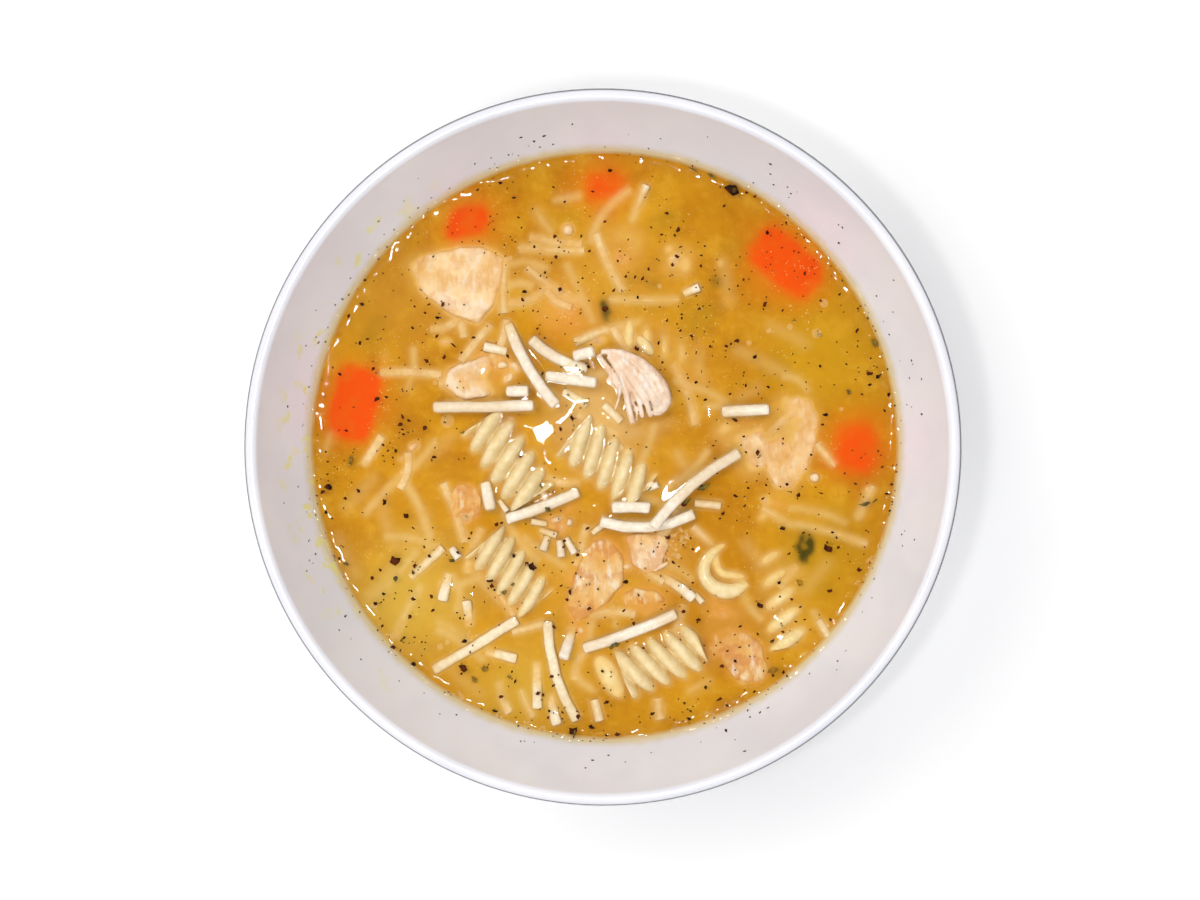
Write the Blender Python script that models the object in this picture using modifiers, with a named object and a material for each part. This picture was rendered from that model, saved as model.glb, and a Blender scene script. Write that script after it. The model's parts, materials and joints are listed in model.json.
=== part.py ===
"""Bowl of chicken noodle soup: a glazed bowl on a foot ring, filled with broth, and every
piece of food that breaks the surface as a solid of its own.

Metres, +Z up. The origin is on the table, under the middle of the foot ring. Places of food
are given in millimetres: x and y from the bowl's axis, and height from the broth's level.
"""
import math

import bmesh
import bpy
from mathutils import Matrix, Vector

MM = 0.001

# Driving dimensions, in metres
BOWL_RADIUS = 77.5 * MM
BOWL_HEIGHT = 62 * MM
BROTH_LEVEL = 45 * MM
LIP_WIDTH = 2.5 * MM
FLOOR_HEIGHT = 7.5 * MM
FOOT_RADIUS = 33 * MM
FOOT_WIDTH = 4 * MM
FOOT_RECESS = 2.5 * MM
CLEARANCE = 0.4 * MM
TURNED_STEPS = 36

# The bowl's inside is the foot of a tall superellipse, and its outside that of a larger one
CURVE_POWER = 2.4
CURVE_CENTRE = 187 * MM
INNER_HALF_WIDTH = 94.1 * MM
INNER_HALF_HEIGHT = CURVE_CENTRE - FLOOR_HEIGHT
OUTER_HALF_HEIGHT = INNER_HALF_HEIGHT + 3.6 * MM

# Meniscus where the broth climbs the wall
MENISCUS_RISE = 0.8 * MM
MENISCUS_REACH = 2.2 * MM

# Noodles: short sticks with a rounded, nearly square section
NOODLE_WIDTH = 2.5 * MM
NOODLE_THICKNESS = 2.3 * MM
NOODLE_CORNER = 0.66
NOODLE_STEPS = 4

# Spiral pasta: three thick blades wound round a core
SPIRAL_RADIUS = 6.0 * MM
SPIRAL_CORE = 2.2 * MM
SPIRAL_BLADES = 3
BLADE_HALF_ANGLE = math.radians(44)
SPIRAL_STEP_ANGLE = math.radians(45)


def clear_scene():
    for obj in list(bpy.data.objects):
        bpy.data.objects.remove(obj)


def new_collection(name):
    collection = bpy.data.collections.new(name)
    bpy.context.scene.collection.children.link(collection)
    return collection


def material(name, colour, roughness, metallic=0.0):
    made = bpy.data.materials.new(name)
    made.use_nodes = True
    shader = made.node_tree.nodes["Principled BSDF"]
    shader.inputs["Base Color"].default_value = (*colour, 1.0)
    shader.inputs["Roughness"].default_value = roughness
    shader.inputs["Metallic"].default_value = metallic
    return made


def add_object(name, data, surface, collection):
    data.materials.append(surface)
    obj = bpy.data.objects.new(name, data)
    collection.objects.link(obj)
    return obj


def helper(obj):
    """A cutter or a guide, left out of the model."""
    obj.hide_render = True
    obj.display_type = "WIRE"
    return obj


def at_level(x, y, height):
    """A point from millimetres across the bowl and above the broth's level."""
    return Vector((x * MM, y * MM, BROTH_LEVEL + height * MM))


# ---------------------------------------------------------------- bowl and broth

def curve_radius(height, half_width, half_height):
    drop = (CURVE_CENTRE - height) / half_height
    return half_width * (1 - drop**CURVE_POWER) ** (1 / CURVE_POWER)


def curve_height(radius, half_width, half_height):
    reach = radius / half_width
    return CURVE_CENTRE - half_height * (1 - reach**CURVE_POWER) ** (1 / CURVE_POWER)


def inner_radius(height):
    return curve_radius(height, INNER_HALF_WIDTH, INNER_HALF_HEIGHT)


def curve_points(first_height, last_height, half_width, half_height, steps):
    """Points along a wall's curve, evenly spaced by its angle."""
    first, last = (
        math.acos(((CURVE_CENTRE - height) / half_height) ** (CURVE_POWER / 2))
        for height in (first_height, last_height)
    )
    points = []
    for i in range(steps + 1):
        angle = first + (last - first) * i / steps
        radius = half_width * math.sin(angle) ** (2 / CURVE_POWER)
        points.append((radius, CURVE_CENTRE - half_height * math.cos(angle) ** (2 / CURVE_POWER)))
    return points


def turned(name, profile, surface, collection):
    """A solid of revolution about Z from a profile of (radius, height)."""
    mesh = bpy.data.meshes.new(name)
    points = [(radius, 0.0, height) for radius, height in profile]
    mesh.from_pydata(points, [(i, i + 1) for i in range(len(points) - 1)], [])
    obj = add_object(name, mesh, surface, collection)
    screw = obj.modifiers.new("Turn", "SCREW")
    screw.steps = TURNED_STEPS
    screw.render_steps = TURNED_STEPS
    screw.use_merge_vertices = True
    screw.merge_threshold = 0.00005
    screw.use_smooth_shade = True
    return obj


def lip_points(inner, outer, steps=4):
    """The rounded lip, from its inner edge over the top to its outer edge."""
    half = (outer - inner) / 2
    middle = (outer + inner) / 2
    points = []
    for i in range(steps + 1):
        angle = math.pi * (1 - i / steps)
        points.append((middle + half * math.cos(angle), BOWL_HEIGHT - half + half * math.sin(angle)))
    return points


def bowl(surface, collection):
    lip_base = BOWL_HEIGHT - LIP_WIDTH / 2
    inside = curve_points(FLOOR_HEIGHT, lip_base, INNER_HALF_WIDTH, INNER_HALF_HEIGHT, 9)
    lip = lip_points(inside[-1][0], BOWL_RADIUS)
    outer_half_width = BOWL_RADIUS / curve_radius(lip_base, 1.0, OUTER_HALF_HEIGHT)
    foot_top = curve_height(FOOT_RADIUS * 1.12, outer_half_width, OUTER_HALF_HEIGHT)
    outside = curve_points(lip_base, foot_top, outer_half_width, OUTER_HALF_HEIGHT, 6)
    foot = [
        (FOOT_RADIUS + 1.2 * MM, foot_top - 2.6 * MM),
        (FOOT_RADIUS + 0.6 * MM, 0.8 * MM),
        (FOOT_RADIUS - 0.4 * MM, 0.0),
        (FOOT_RADIUS - FOOT_WIDTH + 0.4 * MM, 0.0),
        (FOOT_RADIUS - FOOT_WIDTH - 0.8 * MM, FOOT_RECESS),
        (0.0, FOOT_RECESS),
    ]
    return turned("bowl", inside + lip[1:] + outside[1:] + foot, surface, collection)


def broth(surface, collection):
    """Soup up to its level, close inside the wall, with the meniscus round its edge."""
    edge_height = BROTH_LEVEL + MENISCUS_RISE
    edge_radius = inner_radius(edge_height) - CLEARANCE
    top = [
        (0.0, BROTH_LEVEL),
        (edge_radius - MENISCUS_REACH, BROTH_LEVEL),
        (edge_radius - MENISCUS_REACH * 0.4, BROTH_LEVEL + MENISCUS_RISE * 0.25),
    ]
    side = []
    for radius, height in curve_points(edge_height, FLOOR_HEIGHT, INNER_HALF_WIDTH, INNER_HALF_HEIGHT, 7):
        lean = max(0.0, 1 - radius / edge_radius)
        side.append((max(0.0, radius - CLEARANCE), height + CLEARANCE * lean))
    side[-1] = (0.0, FLOOR_HEIGHT + CLEARANCE)
    return turned("broth", top + side, surface, collection)


# ---------------------------------------------------------------- noodles

def noodle_section(collection):
    """The noodles' outline, a rectangle with its corners cut."""
    half_width = NOODLE_WIDTH / 2
    half_thickness = NOODLE_THICKNESS / 2
    corners = []
    for x, y in ((1, NOODLE_CORNER), (NOODLE_CORNER, 1)):
        corners.append((x * half_width, y * half_thickness))
    outline = []
    outline += corners
    outline += [(-x, y) for x, y in reversed(corners)]
    outline += [(-x, -y) for x, y in corners]
    outline += [(x, -y) for x, y in reversed(corners)]
    curve = bpy.data.curves.new("noodle_section", "CURVE")
    curve.dimensions = "2D"
    spline = curve.splines.new("POLY")
    spline.points.add(len(outline) - 1)
    for point, (x, y) in zip(spline.points, reversed(outline)):
        point.co = (x, y, 0.0, 1.0)
    spline.use_cyclic_u = True
    obj = bpy.data.objects.new("noodle_section", curve)
    collection.objects.link(obj)
    return helper(obj)


def noodle(name, start, end, bow, sag, section, surface, collection):
    """A cut noodle from start to end, bowed sideways and sagging, both in millimetres."""
    first = at_level(*start)
    last = at_level(*end)
    along = (last - first).normalized()
    side = along.cross(Vector((0, 0, 1))).normalized()
    curve = bpy.data.curves.new(name, "CURVE")
    curve.dimensions = "3D"
    spline = curve.splines.new("POLY")
    spline.points.add(NOODLE_STEPS)
    for i, point in enumerate(spline.points):
        t = i / NOODLE_STEPS
        bulge = 4 * t * (1 - t)
        place = first.lerp(last, t) + side * (bow * MM * bulge)
        place.z -= sag * MM * bulge
        point.co = (*place, 1.0)
    curve.bevel_mode = "OBJECT"
    curve.bevel_object = section
    curve.use_fill_caps = True
    curve.twist_mode = "Z_UP"
    return add_object(name, curve, surface, collection)


# Each noodle: start and end (x, y, height), sideways bow, sag; all in millimetres
NOODLES = (
    ((-38.2, 8.9, 0.9), (-15.4, 9.4, 1.3), 0.2, 0.0),
    ((-21.4, 27.6, -1.4), (-10.3, 9.3, 3.2), 1.1, 0.0),
    ((-16.1, 24.2, 0.5), (-3.4, 17.6, -1.2), 1.2, 0.0),
    ((-13.0, 15.9, -0.5), (-1.4, 14.4, 0.9), 0.0, 0.0),
    ((-21.8, 12.5, 0.3), (-16.6, 12.6, 0.4), 0.0, 0.0),
    ((-6.6, 20.3, 1.6), (-1.8, 21.4, 2.3), 0.0, 0.0),
    ((-21.8, -16.3, 0.3), (-5.4, -10.1, -0.6), 0.3, 0.0),
    ((2.0, -13.6, 0.3), (10.6, -13.7, 0.2), -0.2, 0.0),
    ((-0.6, -16.7, 0.3), (20.5, -14.9, 0.5), 2.2, 0.2),
    ((11.2, -17.8, 3.3), (30.6, -1.2, 0.2), -1.5, 0.0),
    ((-4.5, -45.6, 0.5), (16.6, -37.4, 1.2), 0.4, 0.0),
    ((-38.6, -50.8, 0.0), (-19.4, -39.0, 0.5), 0.2, 0.0),
    ((-12.5, -39.3, 0.5), (-5.9, -62.0, 0.2), 1.7, 0.0),
    ((-12.0, -55.8, -0.8), (-10.3, -63.0, 0.8), 0.2, 0.0),
    ((-15.1, -48.4, -0.7), (-14.9, -59.4, 0.6), 0.0, 0.0),
    ((-6.7, -40.2, -1.6), (-8.9, -47.6, 2.4), 0.0, 0.0),
    ((-36.4, -35.0, 0.4), (-34.9, -28.6, -0.9), 0.0, 0.0),
    ((-54.4, -4.6, -0.3), (-49.8, 2.6, 0.1), 0.0, 0.0),
    ((26.6, 7.9, -0.5), (37.2, 8.5, 0.4), 0.0, 0.0),
    ((13.4, -29.4, -0.6), (20.5, -34.2, 0.7), -0.3, 0.0),
    ((-26.6, -8.0, -0.9), (-25.2, -14.2, 0.5), 0.0, 0.0),
    ((-24.8, -46.7, -0.3), (-19.4, -48.0, 0.1), 0.0, 0.0),
    ((-23.7, -52.8, -0.6), (-21.2, -60.6, 0.2), 0.5, 0.0),
    ((-30.9, -34.6, 0.5), (-30.2, -41.0, -0.8), 0.0, 0.0),
)


# ---------------------------------------------------------------- spiral pasta

def spiral_outline():
    """One turn of the section: for each blade its two edges and the notch after it."""
    points = []
    for blade in range(SPIRAL_BLADES):
        middle = blade * math.tau / SPIRAL_BLADES
        points.append((middle - BLADE_HALF_ANGLE, SPIRAL_RADIUS))
        points.append((middle + BLADE_HALF_ANGLE, SPIRAL_RADIUS))
        points.append((middle + math.pi / SPIRAL_BLADES, SPIRAL_CORE))
    return points


def spiral(name, centre, heading, dip, roll, length, pitch, surface, collection):
    """Spiral pasta lying along heading, its far end dipping, both in degrees."""
    outline = spiral_outline()
    steps = round(length / pitch * math.tau / SPIRAL_STEP_ANGLE)
    rise = length * MM / steps
    bm = bmesh.new()
    bmesh.ops.create_circle(bm, cap_ends=True, segments=len(outline), radius=1.0)
    bm.verts.ensure_lookup_table()
    for vert, (angle, radius) in zip(bm.verts, outline):
        vert.co = (radius * math.cos(angle), radius * math.sin(angle), -length * MM / 2)
    top = bm.faces[:]
    turn = Matrix.Rotation(rise / (pitch * MM) * math.tau, 3, "Z")
    for step in range(steps):
        made = bmesh.ops.extrude_face_region(bm, geom=top)["geom"]
        if step:
            bmesh.ops.delete(bm, geom=top, context="FACES_ONLY")
        ring = [g for g in made if isinstance(g, bmesh.types.BMVert)]
        top = [g for g in made if isinstance(g, bmesh.types.BMFace)]
        bmesh.ops.rotate(bm, cent=(0, 0, 0), matrix=turn, verts=ring)
        bmesh.ops.translate(bm, vec=(0, 0, rise), verts=ring)
    bmesh.ops.recalc_face_normals(bm, faces=bm.faces)
    mesh = bpy.data.meshes.new(name)
    bm.to_mesh(mesh)
    bm.free()
    obj = add_object(name, mesh, surface, collection)
    place_lying(obj, centre, heading, dip, roll)
    return obj


def place_lying(obj, centre, heading, dip, roll=0.0):
    """Lays an object's own Z along heading, with its far end dipping, and rolls it."""
    lie = Matrix.Rotation(math.radians(heading), 4, "Z") @ Matrix.Rotation(math.radians(90 + dip), 4, "Y")
    spin = Matrix.Rotation(math.radians(roll), 4, "Z")
    obj.matrix_world = Matrix.Translation(at_level(*centre)) @ lie @ spin


def spiral_cutter(name, centre, heading, dip, length, collection):
    """The round hollow that a spiral lies in."""
    mesh = bpy.data.meshes.new(name)
    bm = bmesh.new()
    radius = (SPIRAL_RADIUS + CLEARANCE) * 1.02
    depth = length * MM + 2 * CLEARANCE
    bmesh.ops.create_cone(bm, cap_ends=True, segments=16, radius1=radius, radius2=radius, depth=depth)
    bm.to_mesh(mesh)
    bm.free()
    obj = bpy.data.objects.new(name, mesh)
    collection.objects.link(obj)
    place_lying(obj, centre, heading, dip)
    return helper(obj)


# Each spiral: centre (x, y, height) in millimetres, heading, dip and roll in degrees,
# then its length and the pitch of its twist in millimetres
SPIRALS = (
    ((-21.7, -2.8, -5.0), -57, -3, 0, 19.0, 12.6),
    ((0.9, -3.6, -6.0), -40, 7, 117, 20.5, 12.2),
    ((-21.1, -28.3, -5.6), -50.6, 4, 0, 18.5, 11.1),
    ((11.0, -49.0, -4.8), 21.9, 1, 65, 24.4, 11.6),
    ((30.2, -32.0, -6.4), -50, 52, 0, 16.0, 11.4),
)


# ---------------------------------------------------------------- chicken

def lump(name, bottom, outline, waist, foot, brow, surface, collection):
    """A solid lump of food: its outline at the waist, drawn in below and above it.

    outline holds x, y and the height of the top there, in millimetres, with heights from
    the broth's level. waist is how far up the outline lies, foot and brow how much of the
    outline is left at the bottom and at the top.
    """
    count = len(outline)
    middle_x = sum(point[0] for point in outline) / count
    middle_y = sum(point[1] for point in outline) / count
    crown = sum(point[2] for point in outline) / count
    bm = bmesh.new()
    rings = []
    for share, part in ((0.0, foot), (waist, 1.0), (1.0, brow)):
        ring = []
        for x, y, top in outline:
            height = bottom + (top - bottom) * share
            place = at_level(middle_x + (x - middle_x) * part, middle_y + (y - middle_y) * part, height)
            ring.append(bm.verts.new(place))
        rings.append(ring)
    peak = bm.verts.new(at_level(middle_x, middle_y, crown))
    for low, high in zip(rings, rings[1:]):
        for i in range(count):
            j = (i + 1) % count
            bm.faces.new((low[i], low[j], high[j], high[i]))
    for i in range(count):
        bm.faces.new((rings[2][i], rings[2][(i + 1) % count], peak))
    bm.faces.new(list(reversed(rings[0])))
    bmesh.ops.recalc_face_normals(bm, faces=bm.faces)
    mesh = bpy.data.meshes.new(name)
    bm.to_mesh(mesh)
    bm.free()
    return add_object(name, mesh, surface, collection)


# Each chunk of meat: the height of its bottom, then its outline with the top's heights
CHUNKS = (
    (-6.8, (
        (-44.0, 40.6, -0.6), (-40.0, 42.6, -0.2), (-33.1, 44.1, 0.1), (-27.5, 44.1, 0.2),
        (-22.9, 42.0, -0.4), (-23.4, 36.6, 0.0), (-25.6, 31.6, 0.4), (-28.5, 27.8, 0.2),
        (-34.5, 29.4, 0.3), (-41.3, 34.8, 0.0),
    )),
    (-6.0, (
        (-34.9, 13.7, 0.2), (-34.4, 17.2, 0.4), (-30.6, 18.7, 0.8), (-26.6, 20.1, 0.2),
        (-22.4, 20.4, -2.4), (-18.6, 18.6, -3.4), (-18.4, 14.6, -2.8), (-22.4, 12.4, -2.4),
        (-26.4, 11.4, 0.4), (-31.0, 10.9, 0.1),
    )),
    (-4.4, (
        (-1.0, 20.4, -0.4), (1.6, 21.6, 0.6), (5.0, 21.3, 1.6), (10.1, 17.8, 2.8),
        (13.6, 13.9, 3.2), (14.8, 10.8, 2.6), (13.6, 8.0, 1.8), (9.6, 6.4, 1.2),
        (6.4, 5.5, 0.6), (4.4, 11.4, 1.6), (2.6, 16.2, 0.8),
    )),
    (-7.0, (
        (34.2, 5.4, -2.4), (36.6, 9.4, -2.4), (41.0, 10.4, -0.8), (45.6, 9.4, -0.2),
        (47.6, 5.6, -0.4), (46.8, 0.0, -0.2), (45.4, -4.6, 0.1), (42.2, -8.5, 0.0),
        (38.6, -7.9, 0.2), (36.2, -2.6, 0.0), (34.2, 1.6, -1.2),
    )),
    (-5.4, (
        (-7.2, -34.2, 0.0), (-5.6, -28.5, 0.4), (-3.4, -24.4, 0.2), (-1.0, -22.3, -0.2),
        (1.8, -22.8, -0.4), (3.6, -26.4, 0.3), (3.1, -31.2, 0.5), (-0.1, -34.6, 0.4),
        (-3.2, -37.4, 0.0), (-6.2, -37.8, -0.3),
    )),
    (-5.0, (
        (5.2, -20.6, -0.2), (9.2, -20.1, 0.0), (13.4, -20.5, 0.0), (13.6, -22.9, 0.2),
        (11.9, -27.0, 0.3), (9.6, -28.2, 0.0), (6.8, -26.0, 0.2),
    )),
    (-5.0, (
        (4.8, -33.4, 0.0), (8.2, -32.2, 0.2), (11.6, -32.8, 0.2), (13.6, -34.6, -0.4),
        (12.4, -36.8, -1.8), (8.6, -38.4, -1.8), (5.4, -37.6, -0.9),
    )),
    (-4.2, (
        (25.2, -43.0, -0.2), (28.5, -41.6, 0.0), (32.0, -42.8, 0.4), (34.8, -45.6, 0.4),
        (36.0, -49.0, 0.2), (35.2, -51.4, 0.1), (32.8, -52.8, 0.0), (29.8, -51.2, 0.3),
        (27.0, -48.0, 0.2),
    )),
    (-5.2, (
        (-34.4, -11.6, -0.1), (-32.2, -9.6, 0.0), (-29.6, -9.6, 0.1), (-28.3, -12.0, 0.0),
        (-28.8, -15.2, 0.2), (-31.0, -16.5, 0.0), (-33.6, -15.2, 0.2),
    )),
)


# ---------------------------------------------------------------- carrot

def cut_corners(corners, top, cut=1.5):
    """The outline of a diced piece, with each corner cooked off by cut millimetres."""
    outline = []
    for i, here in enumerate(corners):
        for other in (corners[i - 1], corners[(i + 1) % len(corners)]):
            away = Vector((other[0] - here[0], other[1] - here[1])).normalized() * cut
            outline.append((here[0] + away.x, here[1] + away.y, top))
    return outline


# Each piece of carrot: the heights of its bottom and top, then its corners
CARROTS = (
    (-4.5, 0.1, ((-59.0, 18.2), (-62.2, 4.2), (-53.6, 1.0), (-50.2, 15.8))),
    (-4.4, 0.0, ((-34.0, 53.0), (-35.6, 46.4), (-25.9, 48.8), (-26.6, 54.6))),
    (-4.4, 0.0, ((-4.4, 61.2), (-3.2, 54.6), (5.2, 56.2), (4.2, 61.6))),
    (-4.5, 0.1, ((37.8, 49.4), (32.2, 42.6), (44.4, 32.8), (49.2, 39.6))),
    (-4.5, 0.0, ((52.0, 4.4), (52.6, -5.8), (61.2, -5.4), (60.6, 4.8))),
)


# ---------------------------------------------------------------- broth cut round the food

def grown_cutter(obj, collection):
    """A copy of a piece, larger all round by the clearance, to cut the broth with."""
    graph = bpy.context.evaluated_depsgraph_get()
    mesh = bpy.data.meshes.new_from_object(obj.evaluated_get(graph))
    bm = bmesh.new()
    bm.from_mesh(mesh)
    bmesh.ops.remove_doubles(bm, verts=bm.verts, dist=0.00001)
    bmesh.ops.recalc_face_normals(bm, faces=bm.faces)
    bm.normal_update()
    for vert in bm.verts:
        vert.co += vert.normal * CLEARANCE * vert.calc_shell_factor()
    bm.to_mesh(mesh)
    bm.free()
    cutter = bpy.data.objects.new("cut_" + obj.name, mesh)
    collection.objects.link(cutter)
    cutter.matrix_world = obj.matrix_world
    return helper(cutter)


def cut_round(target, cutters):
    cut = target.modifiers.new("Cut round the food", "BOOLEAN")
    cut.operation = "DIFFERENCE"
    cut.operand_type = "COLLECTION"
    cut.collection = cutters
    cut.solver = "EXACT"
    cut.use_self = True


def main():
    clear_scene()
    soup = new_collection("chicken_noodle_soup")
    cutters = new_collection("cutters")
    guides = new_collection("guides")

    ceramic = material("glazed_ceramic", (0.83, 0.81, 0.81), 0.15)
    stock = material("broth", (0.58, 0.29, 0.03), 0.1)
    dough = material("noodle", (0.86, 0.74, 0.55), 0.4)
    pasta = material("spiral_pasta", (0.80, 0.62, 0.30), 0.4)
    meat = material("chicken", (0.84, 0.65, 0.46), 0.55)
    root = material("carrot", (0.83, 0.11, 0.01), 0.4)

    bowl(ceramic, soup)
    liquid = broth(stock, soup)
    section = noodle_section(guides)
    pieces = []
    for i, (start, end, bow, sag) in enumerate(NOODLES, 1):
        pieces.append(noodle(f"noodle_{i:02d}", start, end, bow, sag, section, dough, soup))
    for i, (bottom, outline) in enumerate(CHUNKS, 1):
        pieces.append(lump(f"chicken_{i}", bottom, outline, 0.45, 0.74, 0.76, meat, soup))
    for i, (bottom, top, corners) in enumerate(CARROTS, 1):
        pieces.append(lump(f"carrot_{i}", bottom, cut_corners(corners, top), 0.6, 0.86, 0.9, root, soup))
    for i, (centre, heading, dip, roll, length, pitch) in enumerate(SPIRALS, 1):
        spiral(f"spiral_{i}", centre, heading, dip, roll, length, pitch, pasta, soup)
        spiral_cutter(f"cut_spiral_{i}", centre, heading, dip, length, cutters)
    bpy.context.view_layer.update()
    for piece in pieces:
        grown_cutter(piece, cutters)
    cut_round(liquid, cutters)


main()
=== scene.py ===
"""Chicken noodle soup in a white bowl: the looks of every piece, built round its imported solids.

Metres, +Z up, with the foot ring on the table at the origin. Sizes of food are given in
millimetres and turned into metres where a piece is made.
"""

import json
import math
import random

import bpy
import numpy as np
from mathutils import Matrix, Vector, noise
from mathutils.bvhtree import BVHTree

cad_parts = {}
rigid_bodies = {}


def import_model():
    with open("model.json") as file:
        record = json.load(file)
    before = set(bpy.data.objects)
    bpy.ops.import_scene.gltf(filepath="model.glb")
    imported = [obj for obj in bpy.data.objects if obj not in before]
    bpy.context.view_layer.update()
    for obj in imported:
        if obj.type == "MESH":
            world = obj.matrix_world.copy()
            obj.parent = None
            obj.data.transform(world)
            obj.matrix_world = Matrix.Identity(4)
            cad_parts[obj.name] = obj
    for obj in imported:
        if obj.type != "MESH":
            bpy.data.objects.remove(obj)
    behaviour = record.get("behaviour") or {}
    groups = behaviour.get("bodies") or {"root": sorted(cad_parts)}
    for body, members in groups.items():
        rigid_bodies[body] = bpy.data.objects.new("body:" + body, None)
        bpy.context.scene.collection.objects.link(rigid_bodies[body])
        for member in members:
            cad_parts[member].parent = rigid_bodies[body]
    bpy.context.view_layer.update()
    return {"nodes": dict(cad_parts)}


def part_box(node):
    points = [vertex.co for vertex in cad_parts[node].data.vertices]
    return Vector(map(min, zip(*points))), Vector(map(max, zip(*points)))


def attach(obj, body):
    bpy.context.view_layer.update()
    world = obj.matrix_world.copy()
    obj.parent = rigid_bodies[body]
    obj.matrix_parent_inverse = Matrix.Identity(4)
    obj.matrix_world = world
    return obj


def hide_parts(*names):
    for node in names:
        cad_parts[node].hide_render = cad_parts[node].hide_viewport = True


MM = 0.001

# The bowl and the broth, as the solids have them
BOWL_RADIUS = 77.5 * MM
BOWL_HEIGHT = 62 * MM
BROTH_LEVEL = 45 * MM
LIP_WIDTH = 2.5 * MM
FLOOR_HEIGHT = 7.5 * MM
FOOT_RADIUS = 33 * MM
FOOT_WIDTH = 4 * MM
FOOT_RECESS = 2.5 * MM
CURVE_POWER = 2.4
CURVE_CENTRE = 187 * MM
INNER_HALF_WIDTH = 94.1 * MM
INNER_HALF_HEIGHT = CURVE_CENTRE - FLOOR_HEIGHT
OUTER_HALF_HEIGHT = INNER_HALF_HEIGHT + 3.6 * MM

# How fast the cloudy broth hides what is under it, and where it is hidden altogether
CLEAR_DEPTH = 1.6 * MM
CLEAR_POWER = 1.5
CLOUD_DEPTH = 1.1 * MM

# Cells across the two sheets of the broth, points merged within, and steps of the blurred marks
SHEET_CELLS = 262
MERGE_REACH = 0.00001
DEEPEST_MARK = 6 * MM
SHARP_DEPTH = 1.5 * MM

# How far noodles and bits are let down, and where the scattered ones keep to
NOODLE_DROP = 0.4
BIT_DROP = 0.5
SCATTER_REACH = 59
DEEP_NOODLES = 46
CARROT_ROOM = 13

# Tries at specks on the broth, which fall in loose clumps, and specks on the wall
BROTH_SPECKS = 1500
WALL_SPECKS = 170
FROTH_REACH = 65.6

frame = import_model()


# ---------------------------------------------------------------- modelling helpers

def deselect():
    for obj in bpy.context.selected_objects:
        obj.select_set(False)


def only(obj):
    """Makes one object the only one selected, and active."""
    deselect()
    obj.select_set(True)
    bpy.context.view_layer.objects.active = obj
    return obj


def added(name):
    obj = bpy.context.object
    obj.name = name
    obj.data.name = name
    return only(obj)


def edit(obj, mode="VERT"):
    only(obj)
    bpy.ops.object.mode_set(mode="EDIT")
    bpy.ops.mesh.select_mode(type=mode)
    bpy.ops.mesh.select_all(action="SELECT")


def done():
    bpy.ops.object.mode_set(mode="OBJECT")


def modify(obj, kind, **settings):
    """Adds a modifier and applies it."""
    only(obj)
    made = obj.modifiers.new(kind.title(), kind)
    for key, value in settings.items():
        setattr(made, key, value)
    bpy.ops.object.modifier_apply(modifier=made.name)
    return obj


def face_outwards():
    """Turns all faces of the mesh in hand outwards, and ends its editing."""
    bpy.ops.mesh.select_all(action="SELECT")
    bpy.ops.mesh.normals_make_consistent(inside=False)
    done()


def settle(obj):
    """Puts the object's place, turn and size into its mesh."""
    only(obj)
    bpy.ops.object.transform_apply(location=True, rotation=True, scale=True)
    return obj


def let_down(obj, drop):
    """Lowers a piece by millimetres."""
    obj.location.z = -drop * MM
    return settle(obj)


def remade(obj, cell, rounds):
    """Rebuilds a piece as one even skin with cells of a size, and smooths it."""
    modify(obj, "REMESH", mode="VOXEL", voxel_size=cell * MM)
    return modify(obj, "SMOOTH", factor=0.5, iterations=rounds)


def joined(name, parts):
    deselect()
    for part in parts:
        part.select_set(True)
    bpy.context.view_layer.objects.active = parts[0]
    if len(parts) > 1:
        bpy.ops.object.join()
    return settle(added(name))


def linked(name, data):
    """A new object in the scene."""
    obj = bpy.data.objects.new(name, data)
    bpy.context.scene.collection.objects.link(obj)
    return obj


def draw_out(rise, share):
    """Extrudes what is selected straight up or down, and scales it about the bowl's axis."""
    bpy.ops.mesh.extrude_region_move(TRANSFORM_OT_translate={"value": (0, 0, rise)})
    bpy.ops.transform.resize(value=(share, share, 1), center_override=(0, 0, 0))


def merged_copy(node, name):
    """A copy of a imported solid, with its loose triangles merged and its flat faces whole."""
    obj = linked(name, frame["nodes"][node].data.copy())
    obj.data.materials.clear()
    edit(obj)
    bpy.ops.mesh.remove_doubles(threshold=MERGE_REACH)
    bpy.ops.mesh.dissolve_limited(angle_limit=math.radians(2))
    bpy.ops.mesh.normals_make_consistent(inside=False)
    done()
    return obj


def serve(obj, recipe, replaced=()):
    """Finishes a piece: its material, its place in the bowl and the solids that it stands for."""
    obj.data.materials.clear()
    obj.data.materials.append(recipe)
    only(obj)
    bpy.ops.object.shade_smooth()
    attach(obj, "root")
    if replaced:
        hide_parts(*replaced)
    return obj


# ---------------------------------------------------------------- material helpers

def linear(red, green, blue):
    """A colour given as it looks on screen, 0 to 255, in the renderer's own values."""
    channels = []
    for value in (red, green, blue):
        share = value / 255
        channels.append(share / 12.92 if share <= 0.04045 else ((share + 0.055) / 1.055) ** 2.4)
    return (*channels, 1.0)


def fill(tree, socket, value):
    """Links a socket to the output of another node, or sets its own value."""
    if isinstance(value, bpy.types.NodeSocket):
        tree.links.new(value, socket)
    else:
        socket.default_value = value


def put(tree, kind, inputs=None, **settings):
    """Adds a shader node; inputs are values or the outputs of other nodes."""
    node = tree.nodes.new("ShaderNode" + kind)
    for key, value in settings.items():
        setattr(node, key, value)
    for key, value in (inputs or {}).items():
        fill(tree, node.inputs[key], value)
    return node


def maths(tree, operation, first, second=0.0, clamp=False):
    node = put(tree, "Math", {0: first, 1: second}, operation=operation, use_clamp=clamp)
    return node.outputs[0]


def times(tree, first, second):
    return maths(tree, "MULTIPLY", first, second)


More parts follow.
